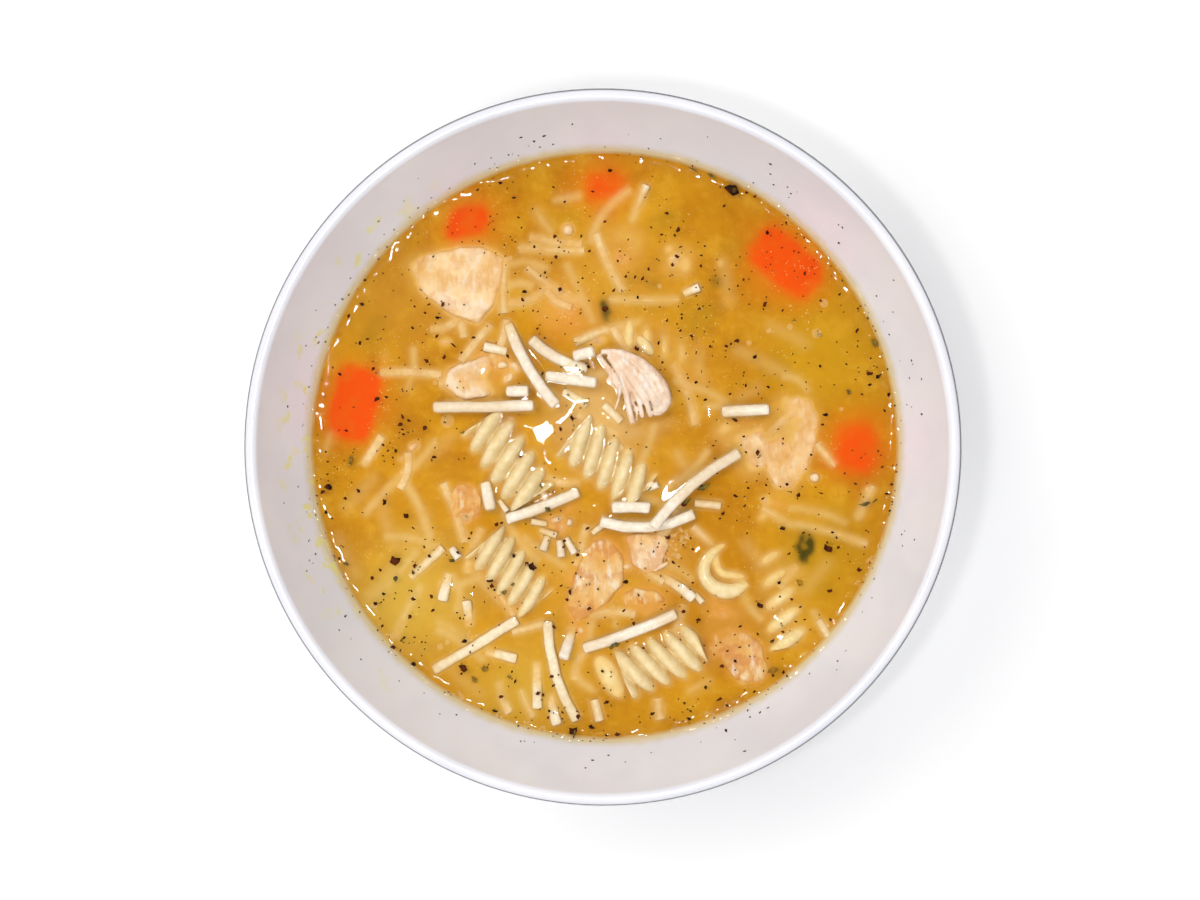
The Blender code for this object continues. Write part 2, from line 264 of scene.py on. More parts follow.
def blend(tree, share, first, second, kind="MIX"):
    node = put(tree, "Mix", {0: share, 6: first, 7: second}, data_type="RGBA", blend_type=kind)
    return node.outputs[2]


def band(tree, value, low, high, start=0.0, end=1.0):
    """Rescales a value smoothly from low..high to start..end."""
    inputs = {0: value, 1: low, 2: high, 3: start, 4: end}
    return put(tree, "MapRange", inputs, interpolation_type="SMOOTHSTEP").outputs[0]


def two_tone(tree, value, low, high, first, second):
    """From one colour to another as a value goes from low to high."""
    return blend(tree, band(tree, value, low, high), linear(*first), linear(*second))


def patched(tree, colour, value, low, high, share, tint):
    """Lays up to a share of a tint over a colour as a value goes from low to high."""
    return blend(tree, band(tree, value, low, high, 0, share), colour, linear(*tint))


def upward(tree):
    """How far a surface faces up: 1 where it lies level."""
    return put(tree, "SeparateXYZ", {0: put(tree, "NewGeometry").outputs["Normal"]}).outputs[2]


def own_place(tree):
    return put(tree, "TexCoord").outputs["Object"]


def grain(tree, place, size, detail=3.0, roughness=0.5, stretch=None, turn=0.0):
    """Noise whose lumps are about size across, in metres."""
    if stretch:
        place = put(tree, "Mapping", {0: place, 2: (0, 0, turn), 3: stretch}).outputs[0]
    inputs = {"Vector": place, "Scale": 1 / size, "Detail": detail, "Roughness": roughness}
    return put(tree, "TexNoise", inputs).outputs[0]


def recipe(name):
    """A new material with its tree, its surface shader and the place that its patterns follow."""
    made = bpy.data.materials.new(name)
    made.use_nodes = True
    tree = made.node_tree
    return made, tree, tree.nodes["Principled BSDF"], own_place(tree)


def mix_shaders(tree, share, first, second):
    return put(tree, "MixShader", {0: share, 1: first.outputs[0], 2: second.outputs[0]})


def show(tree, node):
    """Sends a shader to the material's surface."""
    tree.links.new(node.outputs[0], tree.nodes["Material Output"].inputs[0])


def feed(tree, shader, **values):
    """Sets or links a shader's sockets, named with underscores for spaces."""
    for key, value in values.items():
        fill(tree, shader.inputs[key.replace("_", " ").title().replace("Ior", "IOR")], value)


def cloud_group():
    """The cloudy broth's own colour, the same at one place on every piece that it hides."""
    tree = bpy.data.node_groups.new("cloudy_broth", "ShaderNodeTree")
    tree.interface.new_socket("Colour", in_out="OUTPUT", socket_type="NodeSocketColor")
    out = tree.nodes.new("NodeGroupOutput")
    place = own_place(tree)
    broad = grain(tree, place, 24 * MM, 2.0)
    patches = grain(tree, place, 7 * MM, 3.0)
    fine = grain(tree, place, 2.0 * MM, 3.0)
    colour = two_tone(tree, broad, 0.36, 0.64, (180, 123, 13), (193, 139, 21))
    colour = patched(tree, colour, patches, 0.52, 0.72, 0.6, (203, 156, 44))
    colour = patched(tree, colour, patches, 0.48, 0.3, 0.6, (170, 110, 8))
    colour = patched(tree, colour, fine, 0.5, 0.75, 0.25, (208, 163, 58))
    colour = patched(tree, colour, fine, 0.45, 0.28, 0.25, (159, 100, 7))
    for x, y, size, share, tint in HAZES:
        middle = (x * MM, y * MM, BROTH_LEVEL)
        away = put(tree, "VectorMath", {0: place, 1: middle}, operation="DISTANCE").outputs[1]
        torn = maths(tree, "ADD", away, times(tree, patches, size * 0.6 * MM))
        colour = patched(tree, colour, torn, size * 1.2 * MM, size * 0.3 * MM, share, tint)
    tree.links.new(colour, out.inputs["Colour"])
    return tree


def sunk_group(cloud):
    """Fades a piece into the cloudy broth with its depth, and softens its edges there."""
    tree = bpy.data.node_groups.new("under_broth", "ShaderNodeTree")
    for name, kind in (("Colour", "Color"), ("Roughness", "Float"), ("Normal", "Vector")):
        for way in ("INPUT", "OUTPUT"):
            tree.interface.new_socket(name, in_out=way, socket_type="NodeSocket" + kind)
    tree.interface.new_socket("Softness", in_out="INPUT", socket_type="NodeSocketFloat")
    tree.interface.new_socket("Reach", in_out="INPUT", socket_type="NodeSocketFloat")
    given = tree.nodes.new("NodeGroupInput")
    out = tree.nodes.new("NodeGroupOutput")
    place = own_place(tree)
    height = put(tree, "SeparateXYZ", {0: place}).outputs[2]
    depth = maths(tree, "MAXIMUM", maths(tree, "SUBTRACT", BROTH_LEVEL + 0.15 * MM, height), 0.0)
    uneven = band(tree, grain(tree, place, 4 * MM, 3.0), 0.3, 0.7, 0.8, 1.2)
    murk = times(tree, maths(tree, "DIVIDE", uneven, given.outputs["Reach"]), depth)
    thickness = maths(tree, "POWER", times(tree, murk, 1 / CLEAR_DEPTH), CLEAR_POWER)
    clear = maths(tree, "EXPONENT", times(tree, thickness, -1.0))
    soft = maths(tree, "POWER", maths(tree, "MAXIMUM", upward(tree), 0.01), given.outputs["Softness"])
    under = band(tree, murk, 0.0, 0.65 * MM)
    edge = put(tree, "Mix", {0: under, 2: 1.0, 3: soft}).outputs[0]
    seen = times(tree, clear, edge)
    warm = blend(tree, 1.0, given.outputs["Colour"], linear(250, 214, 140), "MULTIPLY")
    tinted = blend(tree, band(tree, murk, 0.1 * MM, 1.8 * MM), given.outputs["Colour"], warm)
    hidden = put(tree, "Group", node_tree=cloud).outputs["Colour"]
    tree.links.new(blend(tree, seen, hidden, tinted), out.inputs["Colour"])
    rough = put(tree, "Mix", {0: under, 2: given.outputs["Roughness"], 3: 0.9}).outputs[0]
    tree.links.new(rough, out.inputs["Roughness"])
    flat = times(tree, under, maths(tree, "SUBTRACT", 1.0, times(tree, clear, 0.6)))
    inputs = {0: flat, 4: given.outputs["Normal"], 5: (0, 0, 1)}
    tilted = put(tree, "Mix", inputs, data_type="VECTOR").outputs[1]
    normal = put(tree, "VectorMath", {0: tilted}, operation="NORMALIZE").outputs[0]
    tree.links.new(normal, out.inputs["Normal"])
    return tree


def bumped(tree, heights, distance, strength=1.0):
    return put(tree, "Bump", {"Height": heights, "Distance": distance, "Strength": strength}).outputs[0]


def sink(tree, shader, colour, roughness, normal, softness=1.5, reach=1.0):
    """Sends a food's colour, roughness and normal through the broth that may cover it."""
    inputs = {"Colour": colour, "Roughness": roughness, "Normal": normal,
              "Softness": softness, "Reach": reach}
    group = put(tree, "Group", inputs, node_tree=UNDER_BROTH)
    feed(tree, shader, base_color=group.outputs["Colour"], roughness=group.outputs["Roughness"],
         normal=group.outputs["Normal"])


# Where the broth is creamier or darker: x, y, how far it spreads, how much, colour
HAZES = (
    (-2, 6, 20, 0.75, (211, 176, 122)), (-14, -30, 22, 0.25, (204, 160, 72)),
    (-18, -54, 24, 0.65, (203, 168, 68)), (-44, -34, 26, 0.75, (200, 170, 78)),
    (2, 38, 24, 0.35, (205, 158, 64)), (12, -24, 13, 0.45, (204, 158, 92)),
    (50, 22, 28, 0.6, (188, 148, 24)), (-46, 34, 22, 0.5, (190, 140, 52)),
    (58, -4, 12, 0.55, (138, 88, 7)), (-52, 6, 14, 0.3, (173, 114, 18)),
    (50, -26, 22, 0.6, (182, 142, 26)), (30, -44, 18, 0.5, (176, 120, 24)),
    (6, -52, 17, 0.6, (172, 119, 20)), (57, 0, 15, 0.6, (214, 102, 14)),
    (41, 41, 17, 0.5, (212, 108, 14)), (-57, 10, 15, 0.5, (212, 108, 18)),
    (0, 59, 14, 0.4, (212, 110, 20)), (-30, 51, 14, 0.4, (210, 108, 20)),
    (-8, 30, 12, 0.35, (214, 132, 54)),
)
CLOUDY_BROTH = cloud_group()
UNDER_BROTH = sunk_group(CLOUDY_BROTH)


# ---------------------------------------------------------------- materials

def white_glaze():
    """White glaze, with a film of fat and smears of broth above the level, and a thin line of painted
    shade along the rim's outer edge.
    """
    made, tree, shader, place = recipe("white_glaze")
    apart = put(tree, "SeparateXYZ", {0: place})
    height = apart.outputs[2]
    level = put(tree, "CombineXYZ", {0: apart.outputs[0], 1: apart.outputs[1]}).outputs[0]
    reach = put(tree, "VectorMath", {0: level}, operation="LENGTH").outputs[1]
    mottle = grain(tree, place, 18 * MM, 3.0)
    colour = two_tone(tree, mottle, 0.35, 0.65, (222, 222, 229), (228, 227, 232))
    inside = times(tree, maths(tree, "LESS_THAN", reach, 75.6 * MM),
                   maths(tree, "GREATER_THAN", upward(tree), 0.05))
    ragged = maths(tree, "ADD", height, times(tree, grain(tree, place, 2.4 * MM, 4.0), 1.6 * MM))
    film = times(tree, band(tree, ragged, 48.4 * MM, 45.8 * MM), inside)
    colour = blend(tree, times(tree, film, 0.62), colour, linear(208, 186, 116))
    streaks = grain(tree, place, 5 * MM, 4.0, 0.6)
    low = times(tree, band(tree, height, 57 * MM, 50 * MM), inside)
    left = band(tree, apart.outputs[0], -30 * MM, -60 * MM)
    smear = times(tree, band(tree, streaks, 0.56, 0.66), times(tree, low, left))
    colour = blend(tree, times(tree, smear, 0.85), colour, linear(226, 222, 130))
    # Painted shade: a thin dark grey line along the rim's outer edge, where the lip turns down out of the
    # light.
    rim = band(tree, reach, 76.9 * MM, 77.15 * MM)
    colour = blend(tree, rim, colour, linear(84, 86, 96))
    ripple = bumped(tree, grain(tree, place, 6 * MM, 2.0), 0.05 * MM, 0.4)
    inputs = {"Colour": colour, "Roughness": 0.14, "Normal": ripple, "Softness": 0.15, "Reach": 1.0}
    under = put(tree, "Group", inputs, node_tree=UNDER_BROTH).outputs["Colour"]
    feed(tree, shader, base_color=blend(tree, inside, colour, under), roughness=0.14, normal=ripple,
         coat_weight=0.2, coat_roughness=0.05)
    return made


# What shows through the cloudy broth: how its pieces' names start, how boldly, and its colour there
SEEN_THROUGH = (
    (("cut_noodle", "sunk_noodles", "noodle_bits"), 1.0, linear(214, 186, 134)),
    ("twist", 1.1, linear(213, 182, 130)),
    (("meat_1", "meat_2", "meat_4", "shredded", "pale"), 1.3, linear(222, 186, 124)),
    (("meat_", "sunk_chicken"), 1.1, linear(213, 157, 93)),
    ("diced", 2.6, linear(220, 78, 3)),
    ("sunk_leaves", 2.0, linear(70, 62, 12)),
    ("olive_patches", 1.6, linear(160, 120, 20)),
)


def cloudy_broth():
    made, tree, shader, place = recipe("cloudy_broth")
    colour = put(tree, "Group", node_tree=CLOUDY_BROTH).outputs["Colour"]
    marks = tree.nodes.new("ShaderNodeVertexColor")
    marks.layer_name = "seen_through"
    uneven = band(tree, grain(tree, place, 4 * MM, 3.0), 0.3, 0.7, 1.15, 0.8)
    seen = maths(tree, "MINIMUM", times(tree, marks.outputs["Alpha"], uneven), 1.0)
    colour = blend(tree, seen, colour, marks.outputs["Color"])
    feed(tree, shader, base_color=colour, roughness=0.9, specular_ior_level=0.0)
    return made


def clear_broth():
    """The broth's skin: clear and glossy, with tiny drops of golden fat floating in it, painted bright
    pale gold, partly as painted glints.
    """
    made, tree, shader, place = recipe("clear_broth")
    ripples = bumped(tree, grain(tree, place, 5 * MM, 2.0), 0.05 * MM, 0.5)
    upper = maths(tree, "SUBTRACT", 1.0, put(tree, "NewGeometry").outputs["Backfacing"])
    sheen = put(tree, "Fresnel", {"IOR": 1.36}).outputs[0]
    clear = put(tree, "BsdfTransparent", {"Color": (1.0, 0.978, 0.88, 1.0)})
    gloss = put(tree, "BsdfGlossy", {"Color": (1, 1, 1, 1), "Roughness": 0.04, "Normal": ripples})
    haze = put(tree, "BsdfGlossy", {"Color": (1, 0.96, 0.9, 1), "Roughness": 0.32, "Normal": ripples})
    both = mix_shaders(tree, 0.16, gloss, haze)
    mixed = mix_shaders(tree, times(tree, times(tree, sheen, 0.8), upper), clear, both)
    # Tiny fat drops: real drops, but their bright pale gold is partly painted highlight, the glints that
    # they catch.
    inputs = {"Vector": place, "Scale": 1 / (0.85 * MM), "Randomness": 1.0}
    drops = put(tree, "TexVoronoi", inputs).outputs["Distance"]
    crowd = band(tree, grain(tree, place, 9 * MM, 2.0), 0.42, 0.62, 0.045, 0.15)
    spots = times(tree, maths(tree, "LESS_THAN", drops, crowd), upper)
    feed(tree, shader, base_color=linear(252, 222, 134), roughness=0.15)
    show(tree, mix_shaders(tree, times(tree, spots, 0.5), mixed, shader))
    return made


def noodle_dough():
    made, tree, shader, place = recipe("noodle_dough")
    speckle = grain(tree, place, 1.2 * MM, 3.0)
    each = grain(tree, place, 14 * MM, 1.0)
    colour = two_tone(tree, speckle, 0.35, 0.7, (223, 208, 184), (236, 225, 207))
    colour = patched(tree, colour, each, 0.55, 0.4, 0.5, (210, 180, 132))
    relief = bumped(tree, grain(tree, place, 0.8 * MM, 2.0), 0.03 * MM, 0.5)
    sink(tree, shader, colour, 0.3, relief, 0.9, 1.1)
    return made


def spiral_dough():
    made, tree, shader, place = recipe("spiral_dough")
    speckle = grain(tree, place, 2.0 * MM, 3.0)
    colour = two_tone(tree, speckle, 0.35, 0.7, (221, 196, 142), (232, 211, 164))
    relief = bumped(tree, grain(tree, place, 0.6 * MM, 3.0), 0.05 * MM, 0.5)
    sink(tree, shader, colour, 0.22, relief, 0.4, 1.9)
    return made


def chicken_meat(name, dark):
    """Cooked meat, white or, where dark is 1, pinker with yellow fat."""
    made, tree, shader, place = recipe(name)
    fibres = grain(tree, place, 1.4 * MM, 4.0, 0.6, (1.0, 0.35, 1.0), 0.9)
    broad = grain(tree, place, 3.5 * MM, 2.0)
    pale = blend(tree, dark, linear(235, 213, 190), linear(220, 182, 130))
    deep = blend(tree, dark, linear(222, 190, 160), linear(204, 148, 100))
    colour = blend(tree, band(tree, broad, 0.4, 0.6), pale, deep)
    # The fibre pattern also makes the bumps: near white where it runs high is painted highlight on the
    # ridges, brown where it runs low is painted shade in the grooves.
    colour = patched(tree, colour, fibres, 0.5, 0.66, 0.7, (228, 221, 212))
    colour = patched(tree, colour, fibres, 0.44, 0.3, 0.4, (185, 137, 99))
    relief = bumped(tree, fibres, 0.35 * MM, 0.8)
    sink(tree, shader, colour, 0.36, relief, 0.9, 1.3)
    return made


def carrot_flesh():
    made, tree, shader, place = recipe("carrot_flesh")
    grains = grain(tree, place, 2.5 * MM, 3.0)
    colour = two_tone(tree, grains, 0.35, 0.65, (230, 72, 2), (238, 98, 5))
    relief = bumped(tree, grain(tree, place, 0.6 * MM, 3.0), 0.05 * MM, 0.4)
    sink(tree, shader, colour, 0.35, relief, 0.7, 1.5)
    feed(tree, shader, specular_ior_level=0.1)
    return made


def dark_herbs():
    made, tree, shader, place = recipe("dark_herbs")
    kinds = grain(tree, place, 3 * MM, 2.0)
    colour = two_tone(tree, kinds, 0.42, 0.6, (84, 36, 12), (32, 16, 9))
    colour = patched(tree, colour, kinds, 0.6, 0.7, 1, (92, 66, 22))
    sink(tree, shader, colour, 0.5, bumped(tree, grain(tree, place, 0.3 * MM), 0.05 * MM), 0.3, 2.0)
    feed(tree, shader, specular_ior_level=0.1)
    return made


def green_herbs():
    made, tree, shader, place = recipe("green_herbs")
    veins = grain(tree, place, 1.2 * MM, 3.0)
    colour = two_tone(tree, veins, 0.4, 0.62, (70, 60, 14), (120, 104, 26))
    sink(tree, shader, colour, 0.45, bumped(tree, veins, 0.1 * MM), 0.5)
    return made


def thin_bubble():
    """A clear bubble: hardly seen in its middle, bright at its rim."""
    made, tree, shader, _ = recipe("thin_bubble")
    rim = put(tree, "LayerWeight", {"Blend": 0.35}).outputs["Facing"]
    clear = put(tree, "BsdfTransparent", {"Color": (1.0, 0.98, 0.92, 1.0)})
    feed(tree, shader, base_color=linear(246, 224, 170), roughness=0.08)
    show(tree, mix_shaders(tree, band(tree, rim, 0.2, 1.0, 0.1, 0.75), clear, shader))
    return made


# ---------------------------------------------------------------- bowl and broth

def curve_radius(height, half_width, half_height):
    drop = (CURVE_CENTRE - height) / half_height
    return half_width * (1 - drop**CURVE_POWER) ** (1 / CURVE_POWER)


def curve_height(radius, half_width, half_height):
    reach = radius / half_width
    return CURVE_CENTRE - half_height * (1 - reach**CURVE_POWER) ** (1 / CURVE_POWER)


def inner_radius(height):
    return curve_radius(height, INNER_HALF_WIDTH, INNER_HALF_HEIGHT)


def curve_rings(first_height, last_height, half_width, half_height, steps):
    first, last = (
        math.acos(((CURVE_CENTRE - height) / half_height) ** (CURVE_POWER / 2))
        for height in (first_height, last_height)
    )
    rings = []
    for i in range(steps + 1):
        angle = first + (last - first) * i / steps
        radius = half_width * math.sin(angle) ** (2 / CURVE_POWER)
        rings.append((radius, CURVE_CENTRE - half_height * math.cos(angle) ** (2 / CURVE_POWER)))
    return rings


def turned(name, rings, segments):
    """A disc at the first ring, drawn out ring by ring to the last, which closes it."""
    radius, height = rings[0]
    deselect()
    bpy.ops.mesh.primitive_circle_add(vertices=segments, radius=radius, fill_type="NGON",
                                      location=(0, 0, height))
    obj = added(name)
    edit(obj, "FACE")
    for wide, high in rings[1:]:
        draw_out(high - height, wide / radius)
        radius, height = wide, high
    face_outwards()
    return settle(obj)


def make_bowl():
    lip_base = BOWL_HEIGHT - LIP_WIDTH / 2
    lip_inner = inner_radius(lip_base)
    outer_half_width = BOWL_RADIUS / curve_radius(lip_base, 1.0, OUTER_HALF_HEIGHT)
    foot_top = curve_height(FOOT_RADIUS * 1.12, outer_half_width, OUTER_HALF_HEIGHT)
    foot = [(1 * MM, FOOT_RECESS)]
    for out, share in ((-1.6, 1), (-0.9, 0.9), (-0.3, 0.4), (0.1, 0.1), (0.5, 0)):
        foot.append((FOOT_RADIUS - FOOT_WIDTH + out * MM, FOOT_RECESS * share))
    for out, up in ((-0.6, 0), (-0.1, 0.15), (0.3, 0.6), (0.6, 1.6)):
        foot.append((FOOT_RADIUS + out * MM, up * MM))
    for out, down in ((1.0, 3.0), (1.5, 1.8), (2.5, 0.8)):
        foot.append((FOOT_RADIUS + out * MM, foot_top - down * MM))
    outside = curve_rings(foot_top, lip_base, outer_half_width, OUTER_HALF_HEIGHT, 26)
    middle, half = (BOWL_RADIUS + lip_inner) / 2, (BOWL_RADIUS - lip_inner) / 2
    lip = []
    for i in range(1, 12):
        angle = math.pi * i / 12
        lip.append((middle + half * math.cos(angle), BOWL_HEIGHT - half + half * math.sin(angle)))
    inside = curve_rings(lip_base, FLOOR_HEIGHT, INNER_HALF_WIDTH, INNER_HALF_HEIGHT, 34)
    inside[-1] = (1 * MM, FLOOR_HEIGHT)
    return turned("bowl_glazed", foot + outside + lip + inside, 160)


def round_sheet(name, reach, height):
    """A fine flat grid trimmed to a round."""
    deselect()
    bpy.ops.mesh.primitive_grid_add(x_subdivisions=SHEET_CELLS, y_subdivisions=SHEET_CELLS,
                                    size=2 * reach, location=(0, 0, height))
    obj = settle(added(name))
    edit(obj, "FACE")
    bpy.ops.mesh.select_all(action="DESELECT")
    done()
    for face in obj.data.polygons:
        face.select = face.center.xy.length > reach
    bpy.ops.object.mode_set(mode="EDIT")
    bpy.ops.mesh.delete(type="FACE")
    done()
    return obj


def close_below(obj, steps):
    """Carries the sheet's edge down through steps of (drop, how much narrower), then fills it."""
    edit(obj, "EDGE")
    bpy.ops.mesh.select_all(action="DESELECT")
    bpy.ops.mesh.select_non_manifold()
    for drop, narrower in steps:
        draw_out(-drop, narrower)
    bpy.ops.transform.resize(value=(1, 1, 0))
    bpy.ops.mesh.edge_face_add()
    face_outwards()
    return obj


def blurred(layer, spread):
    """A layer of values softened by a spread counted in cells."""
    span = np.arange(-round(3 * spread), round(3 * spread) + 1)
    weights = np.exp(-0.5 * (span / spread) ** 2)
    weights /= weights.sum()
    for axis in (0, 1):
        layer = np.apply_along_axis(np.convolve, axis, layer, weights, mode="same")
    return layer


def paint_sunk(obj, reach):
    """Marks on the cloudy broth what shows through it: the nearer the level, the sharper."""
    spots = np.linspace(-reach, reach, SHEET_CELLS + 1)
    depth = np.full((SHEET_CELLS + 1, SHEET_CELLS + 1), DEEPEST_MARK)
    tint = np.zeros((*depth.shape, 3))
    boldness = np.ones_like(depth)
    down = Vector((0, 0, -1))
    for starts, bold, colour in SEEN_THROUGH:
        points, faces = [], []
        for piece in list(bpy.context.scene.collection.all_objects):
            if piece.type == "MESH" and piece.name.startswith(starts):
                first = len(points)
                points += [point.co.copy() for point in piece.data.vertices]
                faces += [[first + i for i in face.vertices] for face in piece.data.polygons]
        tree = BVHTree.FromPolygons(points, faces)
        for i, x in enumerate(spots):
            for j, y in enumerate(spots):
                if x * x + y * y > reach * reach:
                    continue
                hit = tree.ray_cast(Vector((x, y, BROTH_LEVEL + 12 * MM)), down, 18 * MM)[0]
                if hit is not None and BROTH_LEVEL - hit.z < depth[i, j]:
                    depth[i, j] = max(BROTH_LEVEL - hit.z, 0.0)
                    tint[i, j] = colour[:3]
                    boldness[i, j] = bold
    strength = np.minimum(boldness * np.exp(-((depth / CLEAR_DEPTH) ** CLEAR_POWER)), 1.0)
    strength[depth >= DEEPEST_MARK] = 0.0
    bright = boldness > 2.1
    near = np.where((depth < SHARP_DEPTH) & ~bright, strength, 0.0)
    far = np.where((depth >= SHARP_DEPTH) & ~bright, strength, 0.0)
    glow = np.where(bright, strength, 0.0)
    total = np.zeros_like(strength)
    mixed = np.zeros_like(tint)
    for layer, spread_by in ((near, 0.8), (far, 1.7), (glow, 1.9), (0.45 * glow, 7.0)):
        total += blurred(layer, spread_by)
        for k in range(3):
            mixed[:, :, k] += blurred(layer * tint[:, :, k], spread_by)
    mixed /= np.maximum(total, 1e-6)[:, :, None]
    marks = obj.data.color_attributes.new("seen_through", "FLOAT_COLOR", "POINT")
    step = 2 * reach / SHEET_CELLS
    for point, mark in zip(obj.data.vertices, marks.data):
        i, j = round((point.co.x + reach) / step), round((point.co.y + reach) / step)
        mark.color = (*mixed[i, j], min(total[i, j], 1.0))


def make_cloud():
    """The cloudy broth, from just under the level to the bowl's floor."""
    top = BROTH_LEVEL - CLOUD_DEPTH
    reach = inner_radius(top) + 1.1 * MM
    obj = round_sheet("broth_cloudy", reach, top)
    paint_sunk(obj, reach)
    rings = curve_rings(FLOOR_HEIGHT + 0.5 * MM, top - 1 * MM, INNER_HALF_WIDTH, INNER_HALF_HEIGHT, 8)
    steps, last, height = [], reach, top
    for radius, low in reversed(rings):
        radius = max(radius + 0.8 * MM, 20 * MM)
        steps.append((height - low, radius / last))
        last, height = radius, low
    return close_below(obj, steps)


# Where the broth's skin swells gently between the pieces in the middle
SWELLS = (
    ((-15.5, 5.7), (-12.6, 0.6), (-10.8, -5.0)),
    ((-10.1, 6.2), (-9.2, 8.6), (-6.6, 9.4), (-3.4, 8.8), (0.2, 7.3), (2.9, 5.3)),
)
# Where the broth lies flat against a noodle, without a bright edge
CALM_WATER = (((-5.0, -43.4), (6.0, -39.2), (16.5, -34.8)),)


def distance_to_line(spot, line):
    """How far a spot lies from a line through points."""
    nearest = []
    for start, end in zip(line, line[1:]):
        start, along = Vector(start), Vector(end) - Vector(start)
        share = min(max((spot - start).dot(along) / along.length_squared, 0.0), 1.0)
        nearest.append((spot - start - along * share).length)
    return min(nearest)


def make_surface(food):
    """The broth's level: a thin clear sheet that climbs a little at the wall and at food."""
    reach = inner_radius(BROTH_LEVEL) + 1.0 * MM
    obj = round_sheet("broth_surface", reach, BROTH_LEVEL)
    wall = obj.vertex_groups.new(name="near_wall")
    for point in obj.data.vertices:
        gap = inner_radius(BROTH_LEVEL + 0.6 * MM) - point.co.xy.length
        share = math.exp(-max(gap, 0.0) / (1.3 * MM)) * (1 + 0.9 * noise.noise(point.co / (2.2 * MM)))
        if share > 0.01:
            wall.add([point.index], share, "REPLACE")
    modify(obj, "DISPLACE", direction="Z", vertex_group="near_wall", strength=0.9 * MM, mid_level=0.0)
    near = obj.vertex_groups.new(name="near_food")
    near.add(list(range(len(obj.data.vertices))), 1.0, "REPLACE")
    modify(obj, "VERTEX_WEIGHT_PROXIMITY", vertex_group="near_food", target=food,
           proximity_mode="GEOMETRY", proximity_geometry={"FACE"}, min_dist=4.2 * MM, max_dist=0.0,
           falloff_type="SHARP")
    calm = obj.vertex_groups.new(name="calm")
    swell = {}
    for point in obj.data.vertices:
        away = min(distance_to_line(point.co.xy / MM, line) for line in SWELLS)
        still = min(distance_to_line(point.co.xy / MM, line) for line in CALM_WATER)
        if still < 9:
            calm.add([point.index], math.exp(-((still / 4.6) ** 2)), "REPLACE")
        if away < 9:
            swell[point.index] = 0.07 * MM * math.exp(-((away / 2.7) ** 2))
    modify(obj, "VERTEX_WEIGHT_MIX", vertex_group_a="near_food", vertex_group_b="calm",
           mix_mode="SUB", mix_set="B")
    modify(obj, "DISPLACE", direction="Z", vertex_group="near_food", strength=0.5 * MM, mid_level=0.0)
    modify(obj, "SMOOTH", factor=0.5, iterations=2)
    for index, height in swell.items():
        obj.data.vertices[index].co.z += height
    return close_below(obj, ((1.0 * MM, 1.0),))


# ---------------------------------------------------------------- food

def above(x, y, height):
    """A point given in millimetres, its height from the broth's level."""
    return Vector((x * MM, y * MM, BROTH_LEVEL + height * MM))


def clouds(name, size, depth=2):
    made = bpy.data.textures.new(name, "CLOUDS")
    made.noise_scale = size
    made.noise_depth = depth
    return made


def knead(obj, size, strength, depth=2):
    """Pushes the surface in and out in soft lumps."""
    return modify(obj, "DISPLACE", texture=clouds("lumps", size, depth), strength=strength, mid_level=0.5,
                  texture_coords="LOCAL")


def make_noodles(dough):
    chance = random.Random(3)
    for node in sorted(name for name in frame["nodes"] if name.startswith("noodle_")):
        obj = merged_copy(node, node.replace("noodle", "cut_noodle"))
        remade(obj, 0.26, 34)
        knead(obj, 4 * MM, 0.3 * MM)
        low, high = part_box(node)
        if low[1] + high[1] < -50 * MM or low[0] + high[0] < -70 * MM:
            let_down(obj, chance.uniform(1.1, 1.9))
        serve(obj, dough, [node])


def strand(name, points, resolution=2):
    """A strand drawn through points: x, y, height and half its thickness, in millimetres."""
    deselect()
    bpy.ops.curve.primitive_nurbs_path_add()
    obj = bpy.context.object
    curve = obj.data
    curve.splines.remove(curve.splines[0])
    path = curve.splines.new("NURBS")
    path.points.add(len(points) - 1)
    for spot, (x, y, height, half) in zip(path.points, points):
        spot.co = (*above(x, y, height), 1)
        spot.radius = half
    path.order_u = 3
    path.use_endpoint_u = True
    path.resolution_u = 3
    curve.dimensions = "3D"
    curve.bevel_depth = MM
    curve.bevel_resolution = resolution
    curve.use_fill_caps = True
    only(obj)
    bpy.ops.object.convert(target="MESH")
    return settle(added(name))


def sagging(start, end, bow, half, drop=0.0):
    """Five points of a noodle from start to end, bowed sideways by bow and let down by drop."""
    (x0, y0, z0), (x1, y1, z1) = start, end
    z0, z1 = z0 - drop, z1 - drop
    long = math.hypot(x1 - x0, y1 - y0)
    side = ((y1 - y0) / long, -(x1 - x0) / long)
    points = []
    for i in range(5):
        share = i / 4
        out = bow * 4 * share * (1 - share)
        points.append((x0 + (x1 - x0) * share + side[0] * out, y0 + (y1 - y0) * share + side[1] * out,
                       z0 + (z1 - z0) * share, half))
    return points


